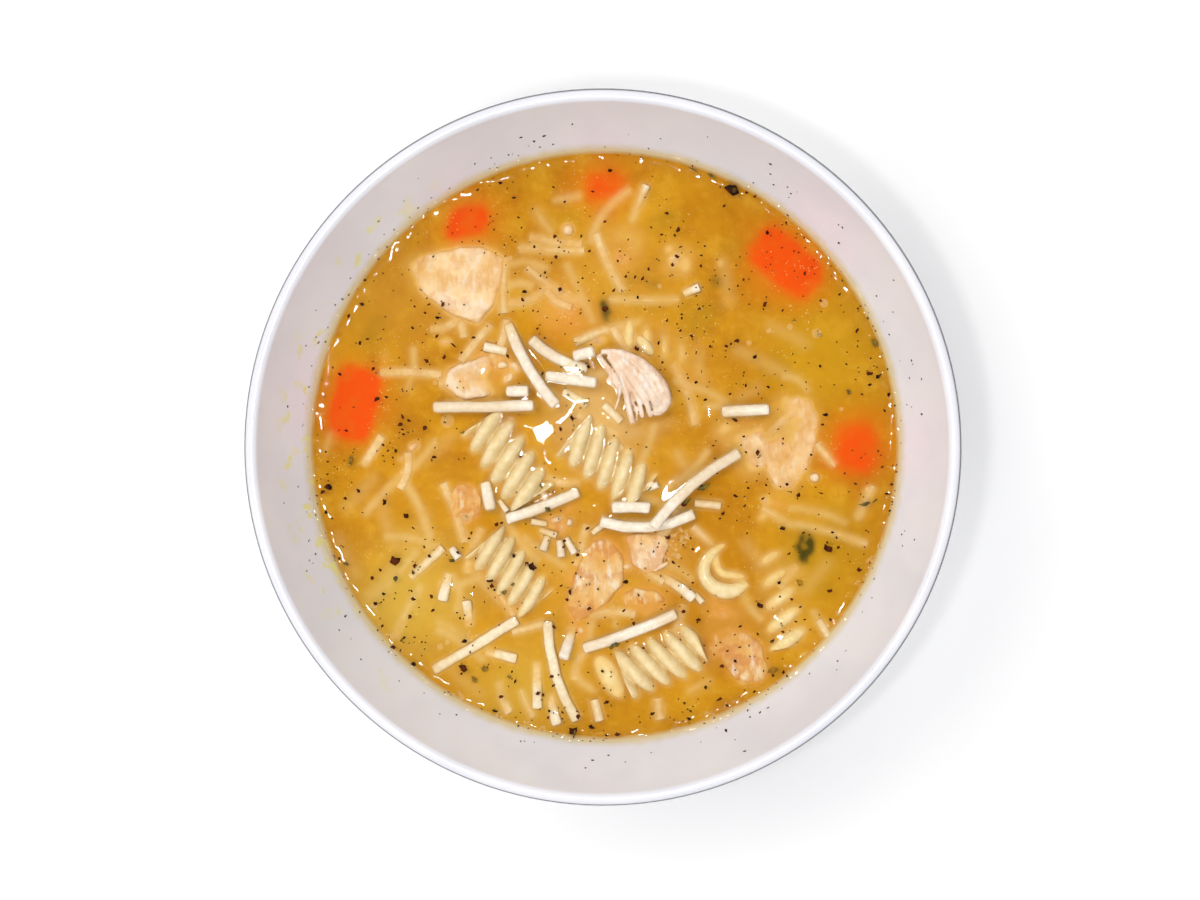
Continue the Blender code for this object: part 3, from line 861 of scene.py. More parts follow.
# Noodles under the broth: start, end, how far they bow to the right, half their thickness
SUNK_NOODLES = (
    ((-26.8, 22.6, -0.6), (-21.8, 21.4, -1), 0, 1.25), ((47.7, 0.9, -1.4), (51.9, -4.3, -1.8), 0, 1.2),
    ((-41.1, -31.2, -2), (-47.3, -43.6, -1.7), 0.4, 1.2),
    ((-43.6, -29.6, -1.4), (-36.2, -22.8, -1), 0, 1.25),
    ((-52, -34.5, -2.4), (-42, -23.5, -2), 0.3, 1.25),
    ((-54.5, -35.6, -2.7), (-46.8, -27, -2.3), 0, 1.25),
    ((-20.6, -41.9, -1.5), (-13.2, -40, -1.3), 0, 1.15),
    ((-18.7, -55, -1.8), (-15.8, -61.4, -1.5), 0.2, 1.15),
    ((-26.6, -46.6, -1.6), (-23.9, -47.2, -1.4), 0, 1.2),
    ((-19.2, 44.7, -2), (-4.2, 44.1, -1.8), 0.3, 1.4), ((-17.2, 40.2, -1.6), (-4.6, 32.2, -2), 0.6, 1.4),
    ((-21.6, 42.4, -1.9), (-22.3, 30, -1.5), 0.5, 1.4), ((-3.2, 45.4, -2.2), (6.2, 57.8, -2), -1.6, 1.4),
    ((6.2, 50, -2.2), (9.6, 58.6, -1), 0, 1.25), ((-11.2, 55.2, -2.2), (-4.8, 56.2, -2), 0, 1.35),
    ((-15.3, 53.8, -2.5), (-11.2, 47.9, -2.4), 0.4, 1.5),
    ((-6.4, 23.4, -1.3), (8.2, 28.2, -2.2), -0.5, 1.35), ((1.2, 33.1, -1.9), (17, 33, -1.9), 0.2, 1.25),
    ((29, 22.3, -2.5), (42.4, 15.6, -2.4), 0, 1.35), ((21.4, 18.6, -2.2), (24.2, 10.8, -2.5), 0.4, 1.2),
    ((29.3, 10, -2.5), (35.4, 13.9, -2.5), 0, 1.2), ((22.5, 9.3, -2.2), (27.5, 9, -1.8), 0, 1.25),
    ((-49.8, 17, -2), (-45.4, 16.8, -1.9), 0, 1.1), ((-44.6, 12.4, -2.1), (-42.9, 22.6, -1.8), 1, 1.1),
    ((-24.6, -47, -2.4), (-38, -39.4, -2.4), 0.2, 1.4),
    ((-30.2, -28, -2.2), (-22.8, -35.6, -2.1), 0, 1.3),
    ((-18.2, -20.2, -2.1), (-7.8, -27.6, -2.3), 0.3, 1.3),
    ((-44.2, -24.4, -2.5), (-39.4, -14, -2.6), 0, 1.3), ((-59, -14.5, -2.6), (-51.4, -6, -2.6), 0.4, 1.4),
    ((-50, -12, -2.7), (-47, -23.5, -2.7), 0.6, 1.4), ((41.2, -17, -2), (59.2, -21.8, -1.7), -0.6, 1.2),
    ((35.6, -13.6, -1.9), (41.4, -17, -2.2), 0, 1.4), ((20, -17.9, -1.5), (24.6, -21.9, -1.9), 0, 1.25),
    ((9.2, -27.8, -1.9), (13.8, -30.4, -1.2), 0, 1.25), ((3, -41, -2.1), (1.6, -33, -2.3), 0, 1.2),
    ((-2.4, -36.8, -2), (-3.2, -43.8, -1.9), 0, 1.2), ((12.2, -56.8, -1.9), (12.9, -61.6, -1.8), 0, 1.6),
    ((18.8, -55.4, -2.4), (24.4, -52.4, -2.5), 0, 1.5), ((-7, -51, -2.2), (-1.6, -55.6, -2.4), 0.3, 1.5),
    ((47, -36.6, -2), (50.6, -42.6, -1.4), 0, 1.2), ((44.8, -33, -2.4), (50.8, -25.4, -2.6), 0, 1.3),
    ((56.8, -16.4, -2.2), (60.4, -8.6, -2), 0, 1.5), ((31.6, -20.8, -2.4), (37.6, -27.4, -2.4), 0.6, 1.3),
    ((28.4, 31.2, -2.7), (26.6, 42.4, -2.5), 0, 1.4), ((46, 22.4, -2.6), (36.2, 27.6, -2.8), 0.4, 1.4),
    ((5, 2.6, -2.9), (16.4, 6, -2.9), 0, 1.4), ((16, -0.6, -2.4), (20.4, -7.4, -2.5), 0, 1.4),
    ((-60.6, -19.6, -2.6), (-55.2, -30, -2.7), 0.4, 1.3),
    ((-35, -50, -2.6), (-27, -56.6, -2.6), 0.3, 1.3), ((-41, -3.6, -2.6), (-33.4, 3.2, -2.7), 0.3, 1.3),
)

# Short bits of noodle at the level: start, end, half their thickness
NOODLE_BITS = (
    ((-23.4, -12.2, -0.6), (-21.6, -14.6, 0.3), 0.7), ((-12.6, -20.4, -0.8), (-13.6, -23.4, 0.3), 0.95),
    ((-9.8, -21.2, -0.4), (-9.4, -24.8, 0.2), 0.95), ((-8.4, -20.6, -0.3), (-6.4, -24, 0.1), 0.85),
    ((-14.2, -18.8, -0.9), (-10.4, -20, -0.2), 0.85), ((-12.8, -17.4, -0.6), (-16.2, -16.8, -0.1), 0.8),
    ((18.2, 34.4, -1.2), (21.6, 35.8, -0.2), 1.1), ((8.4, 55.6, -1.2), (9.8, 58.6, -0.3), 1),
    ((20.8, -33.2, -0.6), (22.4, -35, -0.2), 0.8), ((10, -9.4, -0.5), (12.4, -8.4, 0.3), 0.8),
    ((20.6, -12.6, -0.8), (26.4, -13.2, -0.8), 1.1), ((-34.2, -23, -0.4), (-32.6, -25.2, 0.2), 1),
    ((-14.4, -8, -1), (-12.8, -12.4, -0.6), 0.9), ((50.6, -42.4, -0.9), (48.4, -38.8, -1.1), 1.1),
    ((-2, -57.2, -1.2), (-0.8, -62, -0.9), 1.35), ((0.2, 9.4, -0.9), (4, 5.8, -0.9), 1.2),
    ((-9, 12.4, -1), (-3.6, 9.6, -1), 1.2), ((-20.2, -38.4, -1.4), (-23.2, -33.6, -1.4), 1.2),
    ((-2.4, -19.4, -0.6), (1.2, -16.6, -0.2), 0.8), ((-63, -1.6, -1.8), (-61.6, 3.4, -1.8), 0.9),
)


# Where each piece of carrot lies: x, y
CARROT_PLACES = ((-56.8, 9.8), (-30.6, 51.0), (0.4, 58.4), (40.8, 41.0), (56.6, -0.6))


def make_sunk_noodles(dough):
    parts = [strand("sunk", sagging(start, end, bow, half, NOODLE_DROP))
             for start, end, bow, half in SUNK_NOODLES]
    chance = random.Random(11)
    while len(parts) < len(SUNK_NOODLES) + DEEP_NOODLES:
        x, y = chance.uniform(-60, 60), chance.uniform(-60, 60)
        turn, long = chance.uniform(0, math.tau), chance.uniform(6, 15)
        x1, y1 = x + long * math.cos(turn), y + long * math.sin(turn)
        over_carrot = any(math.hypot((x + x1) / 2 - cx, (y + y1) / 2 - cy) < CARROT_ROOM
                          for cx, cy in CARROT_PLACES)
        if max(math.hypot(x, y), math.hypot(x1, y1)) > SCATTER_REACH or over_carrot:
            continue
        deep = chance.uniform(-2.7, -1.9)
        line = sagging((x, y, deep), (x1, y1, deep), chance.uniform(-1.5, 1.5), 1.4)
        parts.append(strand("deep", line, 1))
    serve(joined("sunk_noodles", parts), dough)
    bits = [strand("bit", sagging(start, end, 0, half, BIT_DROP)) for start, end, half in NOODLE_BITS]
    serve(joined("noodle_bits", bits), dough)


# Each spiral: its name, the solid it stands for, centre, heading, dip, roll, length, pitch
SPIRALS = (
    ("twist_left", "spiral_1", (-21.5, -3.0, -4.0), -57, -2, 0, 21.0, 12.6),
    ("twist_middle", "spiral_2", (0.9, -3.6, -4.2), -40, 4, 117, 20.5, 12.2),
    ("twist_lower", "spiral_3", (-21.1, -28.3, -4.6), -50.6, 4, 0, 18.5, 11.1),
    ("twist_front", "spiral_4", (13.3, -48.1, -4.3), 21.9, 1, 100, 19.0, 11.9),
    ("twist_right", "", (39.8, -34.6, -6.9), -78, -4, 30, 22.0, 14.4),
    ("twist_back", "", (13.0, 22.4, -7.6), -20, 4, 20, 19.0, 12.6),
)
SPIRAL_RADIUS = 6.7 * MM
SPIRAL_NOTCH = 2.7 * MM


# The spiral seen end on: its outer curl, its inner one and its body below (x, y, height, half thickness)
END_CURLS = (
    ((27.6, -21.8, -1.9, 0.7), (25.2, -23, -1.3, 1.1), (22.9, -25.6, -1, 1.4),
     (22.5, -28.7, -0.8, 1.5), (24.3, -31.2, -0.7, 1.7), (27.2, -32.6, -0.8, 1.9),
     (30.2, -32.2, -1.1, 1.7), (32.4, -30.6, -1.8, 1)),
    ((25.6, -24, -2, 0.8), (25.3, -26.5, -1.6, 1), (26.6, -28.6, -1.4, 1.1),
     (29.4, -28.9, -1.5, 1), (32.2, -29.2, -1.9, 0.7)),
    ((27.4, -30.6, -3.6, 2.6), (30, -33, -5.4, 3.4), (33, -36, -7.4, 3.6), (35, -38.2, -9, 3)),
)


# Broad flat ends of spirals: x, y, top, length, width, thickness, turn
BROAD_ENDS = (
    (1.4, -51.9, -0.2, 12, 5.2, 3.4, -60), (41.4, -43.2, -0.3, 7.6, 3.4, 3, 36),
    (9.4, 22.8, 0.2, 5.8, 2.8, 3, -50),
)


def make_spirals(dough):
    """A round of three lobes, drawn out and twisted, then laid in the broth."""
    for name, node, centre, heading, dip, roll, length, pitch in SPIRALS:
        deselect()
        bpy.ops.mesh.primitive_circle_add(vertices=60, radius=1, fill_type="NGON", location=(0, 0, 0))
        obj = added(name)
        for point in obj.data.vertices:
            angle = math.atan2(point.co.y, point.co.x)
            from_lobe = abs((angle + math.pi / 3) % (math.tau / 3) - math.pi / 3) / (math.pi / 3)
            fullness = (1 - min(from_lobe, 1) ** 2.2) ** (1 / 1.7)
            point.co = point.co.normalized() * (SPIRAL_NOTCH + (SPIRAL_RADIUS - SPIRAL_NOTCH) * fullness)
        steps = round(length * 5)
        edit(obj, "FACE")
        bpy.ops.mesh.extrude_repeat(steps=steps, offset=(0, 0, length * MM / steps), scale_offset=1)
        face_outwards()
        settle(obj)
        modify(obj, "SIMPLE_DEFORM", deform_method="TWIST", deform_axis="Z",
               angle=length / pitch * math.tau)
        knead(obj, 5 * MM, 0.4 * MM)
        remade(obj, 0.25, 2)
        lie = (Matrix.Rotation(math.radians(heading), 4, "Z")
               @ Matrix.Rotation(math.radians(90 + dip), 4, "Y"))
        spin = Matrix.Rotation(math.radians(roll), 4, "Z")
        middle = Matrix.Translation((0, 0, -length * MM / 2))
        obj.matrix_world = Matrix.Translation(above(*centre)) @ lie @ spin @ middle
        settle(obj)
        serve(obj, dough, [node] if node else [])
    curls = [strand("curl", points, 4) for points in END_CURLS]
    curls += [lump("flap", *row, 0.05) for row in BROAD_ENDS]
    obj = joined("twist_end", curls)
    remade(obj, 0.3, 3)
    serve(obj, dough, ["spiral_5"])


# The shredded chunk: each fibre's points (x, y, height, half thickness)
FIBRES = (
    ((3.8, 21.4, 0.6, 0.7), (7.8, 19.6, 1.6, 1.1), (10.7, 16.8, 2.2, 1.35), (13.0, 13.8, 2.5, 1.5),
     (14.1, 11.0, 2.3, 1.35), (13.9, 8.8, 1.6, 1.1), (12.2, 7.6, 0.7, 0.7)),
    ((3.0, 20.9, 0.8, 0.7), (6.8, 17.6, 1.9, 1.05), (9.4, 14.4, 2.5, 1.2), (11.5, 11.4, 2.5, 1.15),
     (12.2, 8.8, 1.6, 0.85), (11.6, 7.2, 0.8, 0.5)),
    ((2.2, 20.4, 0.8, 0.6), (5.3, 16.6, 1.7, 0.85), (7.6, 13.6, 2.2, 0.9), (9.4, 11.0, 2.0, 0.8),
     (10.4, 8.2, 1.0, 0.55), (10.6, 6.8, 0.4, 0.35)),
    ((1.2, 20.4, 0.6, 0.55), (3.6, 17.0, 1.3, 0.7), (5.0, 13.8, 1.6, 0.75), (5.5, 10.4, 1.5, 0.75),
     (6.1, 7.4, 1.1, 0.7), (6.7, 5.4, 0.5, 0.6)),
    ((3.9, 16.6, 1.2, 0.5), (6.3, 13.8, 1.5, 0.65), (7.9, 10.9, 1.3, 0.6), (8.6, 8.4, 0.9, 0.55),
     (8.9, 6.6, 0.4, 0.45)),
    ((0.2, 19.2, 0.2, 0.45), (2.8, 16.0, 0.5, 0.5), (4.0, 13.2, 0.5, 0.4), (3.6, 10.8, 0.3, 0.3),
     (2.7, 8.4, -0.1, 0.25)),
    ((-1.2, 20.6, -0.1, 0.6), (1.3, 17.4, 0.3, 0.7), (3.2, 13.8, 0.2, 0.6), (3.6, 11.6, -0.4, 0.5)),
    ((9.6, 12.0, 1.6, 0.5), (10.3, 9.2, 1.0, 0.5), (10.9, 7.0, 0.2, 0.4)),
    ((-0.4, 21.3, 0.2, 0.6), (3.0, 21.5, 0.8, 0.75), (6.2, 20.3, 1.2, 0.75), (8.8, 18.2, 1.3, 0.7)),
    ((7.6, 19.9, 0.2, 0.8), (11.6, 16.6, 0.6, 1.1), (14.4, 12.4, 0.6, 1.1), (14.6, 9.4, 0.3, 0.9)),
    ((4.9, 13.0, 0.9, 0.35), (6.9, 10.2, 0.8, 0.35), (7.7, 7.4, 0.4, 0.3), (7.6, 5.9, 0.0, 0.25)),
    ((1.0, 15.4, -0.5, 0.9), (5.6, 12.6, -0.4, 1.4), (9.4, 10.6, -0.4, 1.4), (12.6, 9.2, -0.5, 1.2)),
)


def make_shredded(meat):
    fibres = [strand("fibre", points, 3) for points in FIBRES]
    obj = joined("shredded_chicken", fibres)
    remade(obj, 0.24, 1)
    knead(obj, 1.6 * MM, 0.3 * MM, 3)
    serve(obj, meat, ["chicken_3"])


# Each cooked chunk: the solid it stands for, how far it is let down, how lumpy it is, how much it spreads
CHICKEN_PIECES = (
    ("chicken_1", 0.5, 0.9, 1.3), ("chicken_2", 0.35, 1.2, 1.35), ("chicken_4", 0.6, 1.4, 1.4),
    ("chicken_5", 0.45, 1.3, 1.5), ("chicken_6", 0.4, 1.3, 1.45), ("chicken_7", 0.5, 1.2, 1.4),
    ("chicken_8", 0.8, 1.3, 1.5), ("chicken_9", 0.75, 1.3, 1.6),
)


def spread(obj, node, share):
    """Widens a piece about its own middle."""
    low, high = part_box(node)
    middle = ((low[0] + high[0]) / 2, (low[1] + high[1]) / 2, BROTH_LEVEL)
    edit(obj)
    bpy.ops.transform.resize(value=(share, share, 1.0), center_override=middle)
    done()


def make_chicken(white, dark, mixed):
    flesh = {"chicken_1": white, "chicken_2": white, "chicken_4": white, "chicken_6": mixed}
    for node, drop, lumpy, wider in CHICKEN_PIECES:
        obj = merged_copy(node, node.replace("chicken", "meat"))
        spread(obj, node, wider)
        remade(obj, 0.4, 10)
        knead(obj, 4 * MM, lumpy * MM)
        knead(obj, 1.3 * MM, 0.4 * MM, 3)
        let_down(obj, drop)
        serve(obj, flesh.get(node, dark), [node])


# Each diced carrot: the solid it stands for, and how far it is let down
CARROT_DROPS = (
    ("carrot_1", 1.5), ("carrot_2", 1.35), ("carrot_3", 1.9), ("carrot_4", 1.35), ("carrot_5", 1.9),
)


def make_carrots(flesh):
    for node, drop in CARROT_DROPS:
        obj = merged_copy(node, node.replace("carrot", "diced_carrot"))
        spread(obj, node, 1.16)
        remade(obj, 0.4, 14)
        knead(obj, 3 * MM, 0.4 * MM)
        let_down(obj, drop)
        serve(obj, flesh, [node])


def lump(name, x, y, top, long, wide, thick, turn, rough=0.18, level=4):
    """A soft lump with its top at a height from the level, sizes in millimetres."""
    deselect()
    bpy.ops.mesh.primitive_ico_sphere_add(subdivisions=level, radius=1)
    obj = added(name)
    obj.scale = (long * MM / 2, wide * MM / 2, thick * MM / 2)
    obj.rotation_euler.z = math.radians(turn)
    obj.location = above(x, y, top - thick / 2)
    settle(obj)
    return knead(obj, wide * 0.4 * MM, rough * wide * MM)


# Lumps of meat under the broth: x, y, top, length, width, thickness, turn
SUNK_MEAT = (
    (-10, 31.5, -1.5, 17, 12, 5, -30), (3.4, 43.2, -1.6, 13, 10, 4, 20), (27, -36.6, -1, 12, 8, 5, -30),
    (30.6, -45.6, -0.9, 8, 7, 5, -60), (-31.6, -13, -0.9, 8, 7, 4, 0), (-11, -17.6, -0.9, 9, 6, 4, -40),
    (-8.2, -14.4, -1.4, 8, 6, 4, 20), (-14.4, 22.6, -1.5, 8, 6, 4, 0), (-2, -38.2, -1.4, 8, 5, 4, 60),
    (38.4, -13, -1.4, 7, 5, 4, -20), (20.4, 14.2, -2, 10, 7, 4, 40), (-6.6, -27.6, -1.6, 7, 5, 4, 50),
    (36, -38, -1.6, 6, 5, 4, 30), (-2, -29.6, -0.8, 13, 15, 5, 60), (-5.2, -41.4, -1.3, 8, 8, 4, 0),
    (27, -43.6, -1, 15, 13, 5, 30), (9.4, -35, -1, 13, 9, 4, 10), (9.8, -24, -1, 13, 11, 4, 10),
    (40, 40, -2.4, 12, 9, 4, 0), (-24, 19, -1.1, 17, 12, 4, 0), (0, -18, -1.9, 10, 8, 4, 0),
    (-38.4, -33.4, -2.2, 9, 7, 4, 30), (32, 6, -2, 9, 7, 4, 30),
)
# Pale crumbs near the level: x, y, top, length, width, thickness, turn
PALE_CRUMBS = (
    (34, 0, -0.95, 16, 15, 5, 0), (28, 3.4, -1.5, 9, 7, 4, 0), (17.2, 41.4, -1.3, 8.6, 8, 4, 40),
    (-31, 38, -1.2, 22, 15, 5, -30), (4, 46, -1.7, 12, 9, 4, 20), (16.4, 41.6, -1, 6, 5.2, 4, 40),
    (14.8, 44.4, -1.2, 3.6, 2.6, 3, 20), (26.2, 41.2, -1.1, 2.6, 1.8, 3, 60),
    (-42.8, 0, -0.5, 3.2, 2.2, 3, 30), (-45.6, -2.8, -0.8, 2.2, 1.6, 3, 10),
    (-44.8, -6, -0.9, 3.4, 1.8, 3, -20), (-35.4, 23.6, -0.8, 3.6, 1.6, 2, 0),
    (10.6, -8.6, 0.2, 2.6, 1.8, 2, 40), (-10.6, -16.4, -0.3, 3.6, 1.8, 3, 20),
    (-7.6, -17, -0.2, 2.2, 1.6, 2, 60), (13, -26.9, -0.1, 4.4, 1.3, 2, 30),
    (-22.6, 18.4, -0.2, 3, 2, 3, 10), (-21.4, 15.6, -0.5, 3.6, 2.4, 3, 40), (59.4, -9.4, -1, 3, 2, 3, 60),
    (36.6, -12, -1, 3.6, 2.4, 3, -30), (35.8, -15.8, -1.1, 3, 2.2, 3, 20),
    (-19.6, 18, -0.6, 4, 2.6, 3, -20), (4.6, 24.2, -1.2, 3.4, 2.2, 3, 0),
    (-1.2, 23.8, -0.8, 5.2, 2.2, 3, 10), (8.6, 22.6, -0.7, 6.2, 2.6, 4, -52),
    (-3, 4.8, -1.2, 6, 3, 3, 70), (-39.6, -23, -1.2, 3, 2, 3, 0), (5.4, -27, -0.6, 2.4, 1.6, 2, 0),
    (31.8, -51.6, -0.5, 4.4, 3, 3, 60), (0.8, -8.6, -1.8, 3.4, 2.2, 3, 0),
    (57.6, 2.8, -1.8, 3.4, 2.2, 3, 0), (43.6, -28.6, -1.6, 5.4, 2.2, 3, 45),
)
# White beads: x, y, top, width
BEADS = (
    (-7.9, 48.6, -0.2, 3), (47.3, -6.8, 0, 2.3), (-12.4, 46.6, -1.4, 2), (-49.2, 20.4, -1.5, 1.6),
)


def make_sunk_food(dark, pale):
    lumps = [lump("sunk", *row) for row in SUNK_MEAT]
    serve(joined("sunk_chicken", lumps), dark)
    crumbs = [lump("crumb", *row, 0.3, 3) for row in PALE_CRUMBS]
    crumbs += [lump("bead", x, y, top, wide, wide, wide, 0, 0.05, 3) for x, y, top, wide in BEADS]
    serve(joined("pale_crumbs", crumbs), pale)


# ---------------------------------------------------------------- herbs and froth

# Larger flakes: x, y, length, width, turn; those beyond the broth lie on the wall
DARK_FLAKES = (
    (29.2, 57, 3.9, 3, -20), (33.7, 55.8, 0.9, 0.6, 40), (26.9, 53.7, 0.9, 0.6, 60),
    (41.2, 51.6, 0.8, 0.5, -40), (8.6, 64.3, 1.1, 0.6, -30), (16, 47.3, 0.8, 0.6, -30),
    (17.3, 44.7, 0.9, 0.4, 10), (3.3, 41.6, 0.8, 0.5, -20), (56.5, 26, 1.3, 0.6, 55),
    (60.7, 26, 0.6, 0.4, 0), (61.2, 15.8, 1.6, 0.9, 40), (59.4, 14, 1, 0.6, 30), (63.6, 11.8, 1, 0.7, 60),
    (57.7, 11.9, 0.7, 0.5, 0), (49.9, 7.3, 1.3, 1, 20), (49, 5.1, 0.8, 0.6, 60), (29.7, 6, 1.6, 1, -20),
    (40, 30.5, 0.8, 0.4, 50), (27.5, 22.6, 0.9, 0.7, 40), (12.4, 23.3, 1, 0.5, 70),
    (20.8, 21.1, 0.9, 0.3, 80), (17.5, 29.7, 0.6, 0.5, 0), (22, 16.9, 0.8, 0.2, 80),
    (40.6, 57.2, 0.4, 0.4, 0), (-53.5, 37.5, 0.8, 0.6, 0), (-54.2, 32.1, 1.3, 0.7, 10),
    (-8.6, 54.8, 0.7, 0.5, 40), (-11, 58, 0.9, 0.5, -20), (-8.6, 43.8, 0.6, 0.5, 0),
    (-3.1, 43.8, 0.8, 0.6, 50), (-59.3, 16.4, 1, 0.6, -40), (-51, 10.8, 1.5, 0.9, 20),
    (-48.8, 11.2, 1.1, 0.5, 10), (-56.2, 8.9, 0.6, 0.3, 40), (-45.7, 5.1, 1.2, 0.9, 0),
    (-40.2, 4.3, 1.2, 1, 30), (-29.1, 24.6, 1, 0.6, 0), (-33.6, 22.9, 1.6, 0.4, -45),
    (-14.8, 26.5, 0.7, 0.5, 60), (-13.1, 24.5, 0.8, 0.4, -10), (-5.6, 20.2, 1.5, 1.1, -20),
    (-2.2, 57, 0.9, 0.6, 0), (-38.1, 42.7, 0.7, 0.4, 40), (-62, -9, 1.9, 1.4, -30),
    (-63.4, -10.2, 1.2, 0.8, 20), (-44.5, -15.5, 1.4, 1.2, 0), (-47.3, -25.7, 2.6, 2.1, 20),
    (-30.8, -15.7, 0.6, 0.5, 0), (-24.1, -17.5, 1.1, 0.9, 60), (-22.9, -17.1, 0.9, 0.6, 30),
    (-29.7, -19.4, 0.8, 0.5, 60), (-30.2, -20.6, 0.7, 0.5, 0), (-16.1, -26.8, 2.1, 1.8, -20),
    (-20.1, -24.5, 1.1, 0.9, 0), (-23.9, -24.2, 0.9, 0.5, 60), (-32.8, -23.8, 1.1, 0.7, -30),
    (-38.3, -36.9, 1.2, 0.8, 40), (-31.1, -43.9, 1.5, 1.2, 20), (-31.6, -50, 2.2, 1.6, 10),
    (-47.3, -45.4, 1.4, 1.2, 0), (-24.6, -59.6, 1.5, 0.7, -10), (-11.6, -51.8, 1, 0.8, 70),
    (-11.3, -53.9, 1.1, 0.5, 40), (-7, -64.2, 2.2, 1.8, 40), (-2.7, -63.1, 1.6, 0.9, -20),
    (-25.6, -30.2, 1.9, 0.7, 10), (-1.2, -32, 0.7, 0.5, 60), (-5.7, -24.2, 0.9, 0.8, 0),
    (0.8, -65, 0.9, 0.6, 0), (-18.1, -35.2, 0.7, 0.4, -20), (-57.6, -37.8, 0.6, 0.5, 0),
    (32, -1.1, 0.7, 0.5, 0), (26.8, -14.9, 1.1, 0.8, 60), (26.2, -16, 0.7, 0.4, 60),
    (35.7, -11.5, 1, 0.5, 40), (36.5, -8.4, 0.7, 0.5, -30), (40.2, -18.1, 1.3, 1, 60),
    (45, -19.1, 1, 0.6, 40), (50.3, -22.5, 2.4, 1.5, -20), (57.2, -27.3, 1.2, 1, 0),
    (35.2, -35.4, 1.8, 1.1, -20), (25.5, -33.2, 1.1, 0.8, -20), (5.1, -30.3, 1.5, 0.9, 50),
    (8, -33.2, 0.8, 0.4, -50), (56.4, -8.1, 1.1, 0.4, 0), (63.4, -10.3, 1.3, 0.5, -10),
    (48.9, -10.3, 1.3, 0.4, -10), (54.9, -9.9, 0.5, 0.3, 0), (38.2, -51.2, 1, 0.6, -20),
    (34, -54.9, 0.9, 0.5, 30), (30.7, -44.9, 0.8, 0.4, 20), (27.9, -45.8, 0.7, 0.5, 40),
    (26.3, -56.7, 1.5, 0.7, 30), (11, -60.1, 1.3, 0.7, 30), (19.8, -59.5, 1.1, 0.6, -30),
    (3.1, -64.8, 1.4, 0.9, 10), (45.2, -38.6, 0.7, 0.4, 20), (51, -38.6, 0.9, 0.6, 0),
    (0.6, 31.1, 1.6, 1.9, 80), (18, -12.8, 1.6, 1.1, 20), (52, 45.2, 0.7, 0.5, 0),
    (36.7, 61.8, 0.7, 0.5, 30), (52.4, 48.2, 0.6, 0.4, -40), (51.6, 48.8, 0.4, 0.3, 0),
    (41.4, 55.9, 0.5, 0.4, 0), (27.6, -62.9, 1.3, 0.6, -60), (33, -60, 0.6, 0.5, 0),
    (37, -57.8, 0.8, 0.4, 30), (52, -46.9, 0.6, 0.4, 0), (66.2, -19, 0.4, 0.4, 0),
    (68.4, -19.8, 0.4, 0.4, 0), (59.8, -33.2, 0.4, 0.3, 0), (-17.6, 68.2, 0.9, 0.5, 20),
    (-15, 67.6, 0.8, 0.5, -20), (-12.8, 68.6, 1, 0.5, 30), (-11, 67.2, 0.6, 0.4, 0),
    (-13.9, 66.6, 0.5, 0.4, 0), (-28.2, 62.8, 0.6, 0.3, 50), (-59.8, 31.8, 0.6, 0.4, 0),
    (-63.6, 23.4, 0.8, 0.4, 40), (-63.9, 24.6, 0.5, 0.4, 0), (-65.2, 18.2, 0.4, 0.3, 0),
    (-38.2, 55.6, 0.5, 0.3, 0), (-46.6, 48.6, 0.5, 0.4, 0), (-45.4, -52.2, 0.4, 0.3, 0),
    (-40, -55.2, 0.5, 0.3, 0), (63.2, 36.5, 0.6, 0.4, 0), (31.4, -65.9, 0.9, 0.4, 20),
)
# Green leaves: x, y, length, width, turn, height
GREEN_LEAVES = (
    (-12.4, -13.9, 1.7, 1.6, 0, 1.6), (-13.9, -8.6, 2.6, 0.7, -62, 0.3), (3.2, -44.3, 2.4, 1.7, 20, 1.6),
    (1.8, -44.9, 1.4, 1.1, 0, 1.5), (22.2, -9, 3.8, 1.5, 28, 0.4), (18.6, -12.2, 2.6, 1.1, 38, 0.4),
    (58.6, -12.6, 4, 0.9, 22, -0.1), (61, -11.8, 2, 0.7, 40, 0), (-57.1, -3.2, 3.6, 0.9, 88, -0.5),
    (-47, -29.8, 1.6, 1.3, 60, 0.1), (-29.2, -52.7, 2.6, 1.2, -28, -0.6), (-27, -50.2, 2, 1.6, 0, -0.6),
    (-22.4, -32.7, 2.2, 1.2, 26, 0.1), (-20.4, -31, 1.4, 0.8, 30, 0.1), (-34.2, -25.6, 2, 1, 0, 0.2),
    (60.6, 23.4, 2.6, 1.6, -70, -0.4), (54.8, 12.4, 1.6, 1.2, 0, -0.3), (10.4, -9.4, 1.8, 0.4, 50, 0.4),
    (24, 60.6, 3, 0.9, -32, -0.3), (20.6, 61.6, 3.6, 0.7, -26, -0.2), (44.2, -30.4, 2.4, 1.6, 0, -1.1),
    (38.6, -50.2, 3.6, 2, 20, -1), (-31.6, 3.2, 2.2, 0.8, 0, -0.5), (-38.6, -3, 0.8, 0.7, 0, 0.1),
    (-58.2, -26.4, 1.8, 0.9, -20, 0), (-21.4, -52, 1.4, 0.9, 0, -0.6), (-6.5, -64.9, 2.8, 0.5, 80, 0.5),
    (-51.2, 16.6, 1, 0.6, 30, -0.2), (48.2, 25.2, 1.3, 1.2, 0, -0.7), (42.6, 28.4, 0.9, 0.7, 0, -0.5),
)
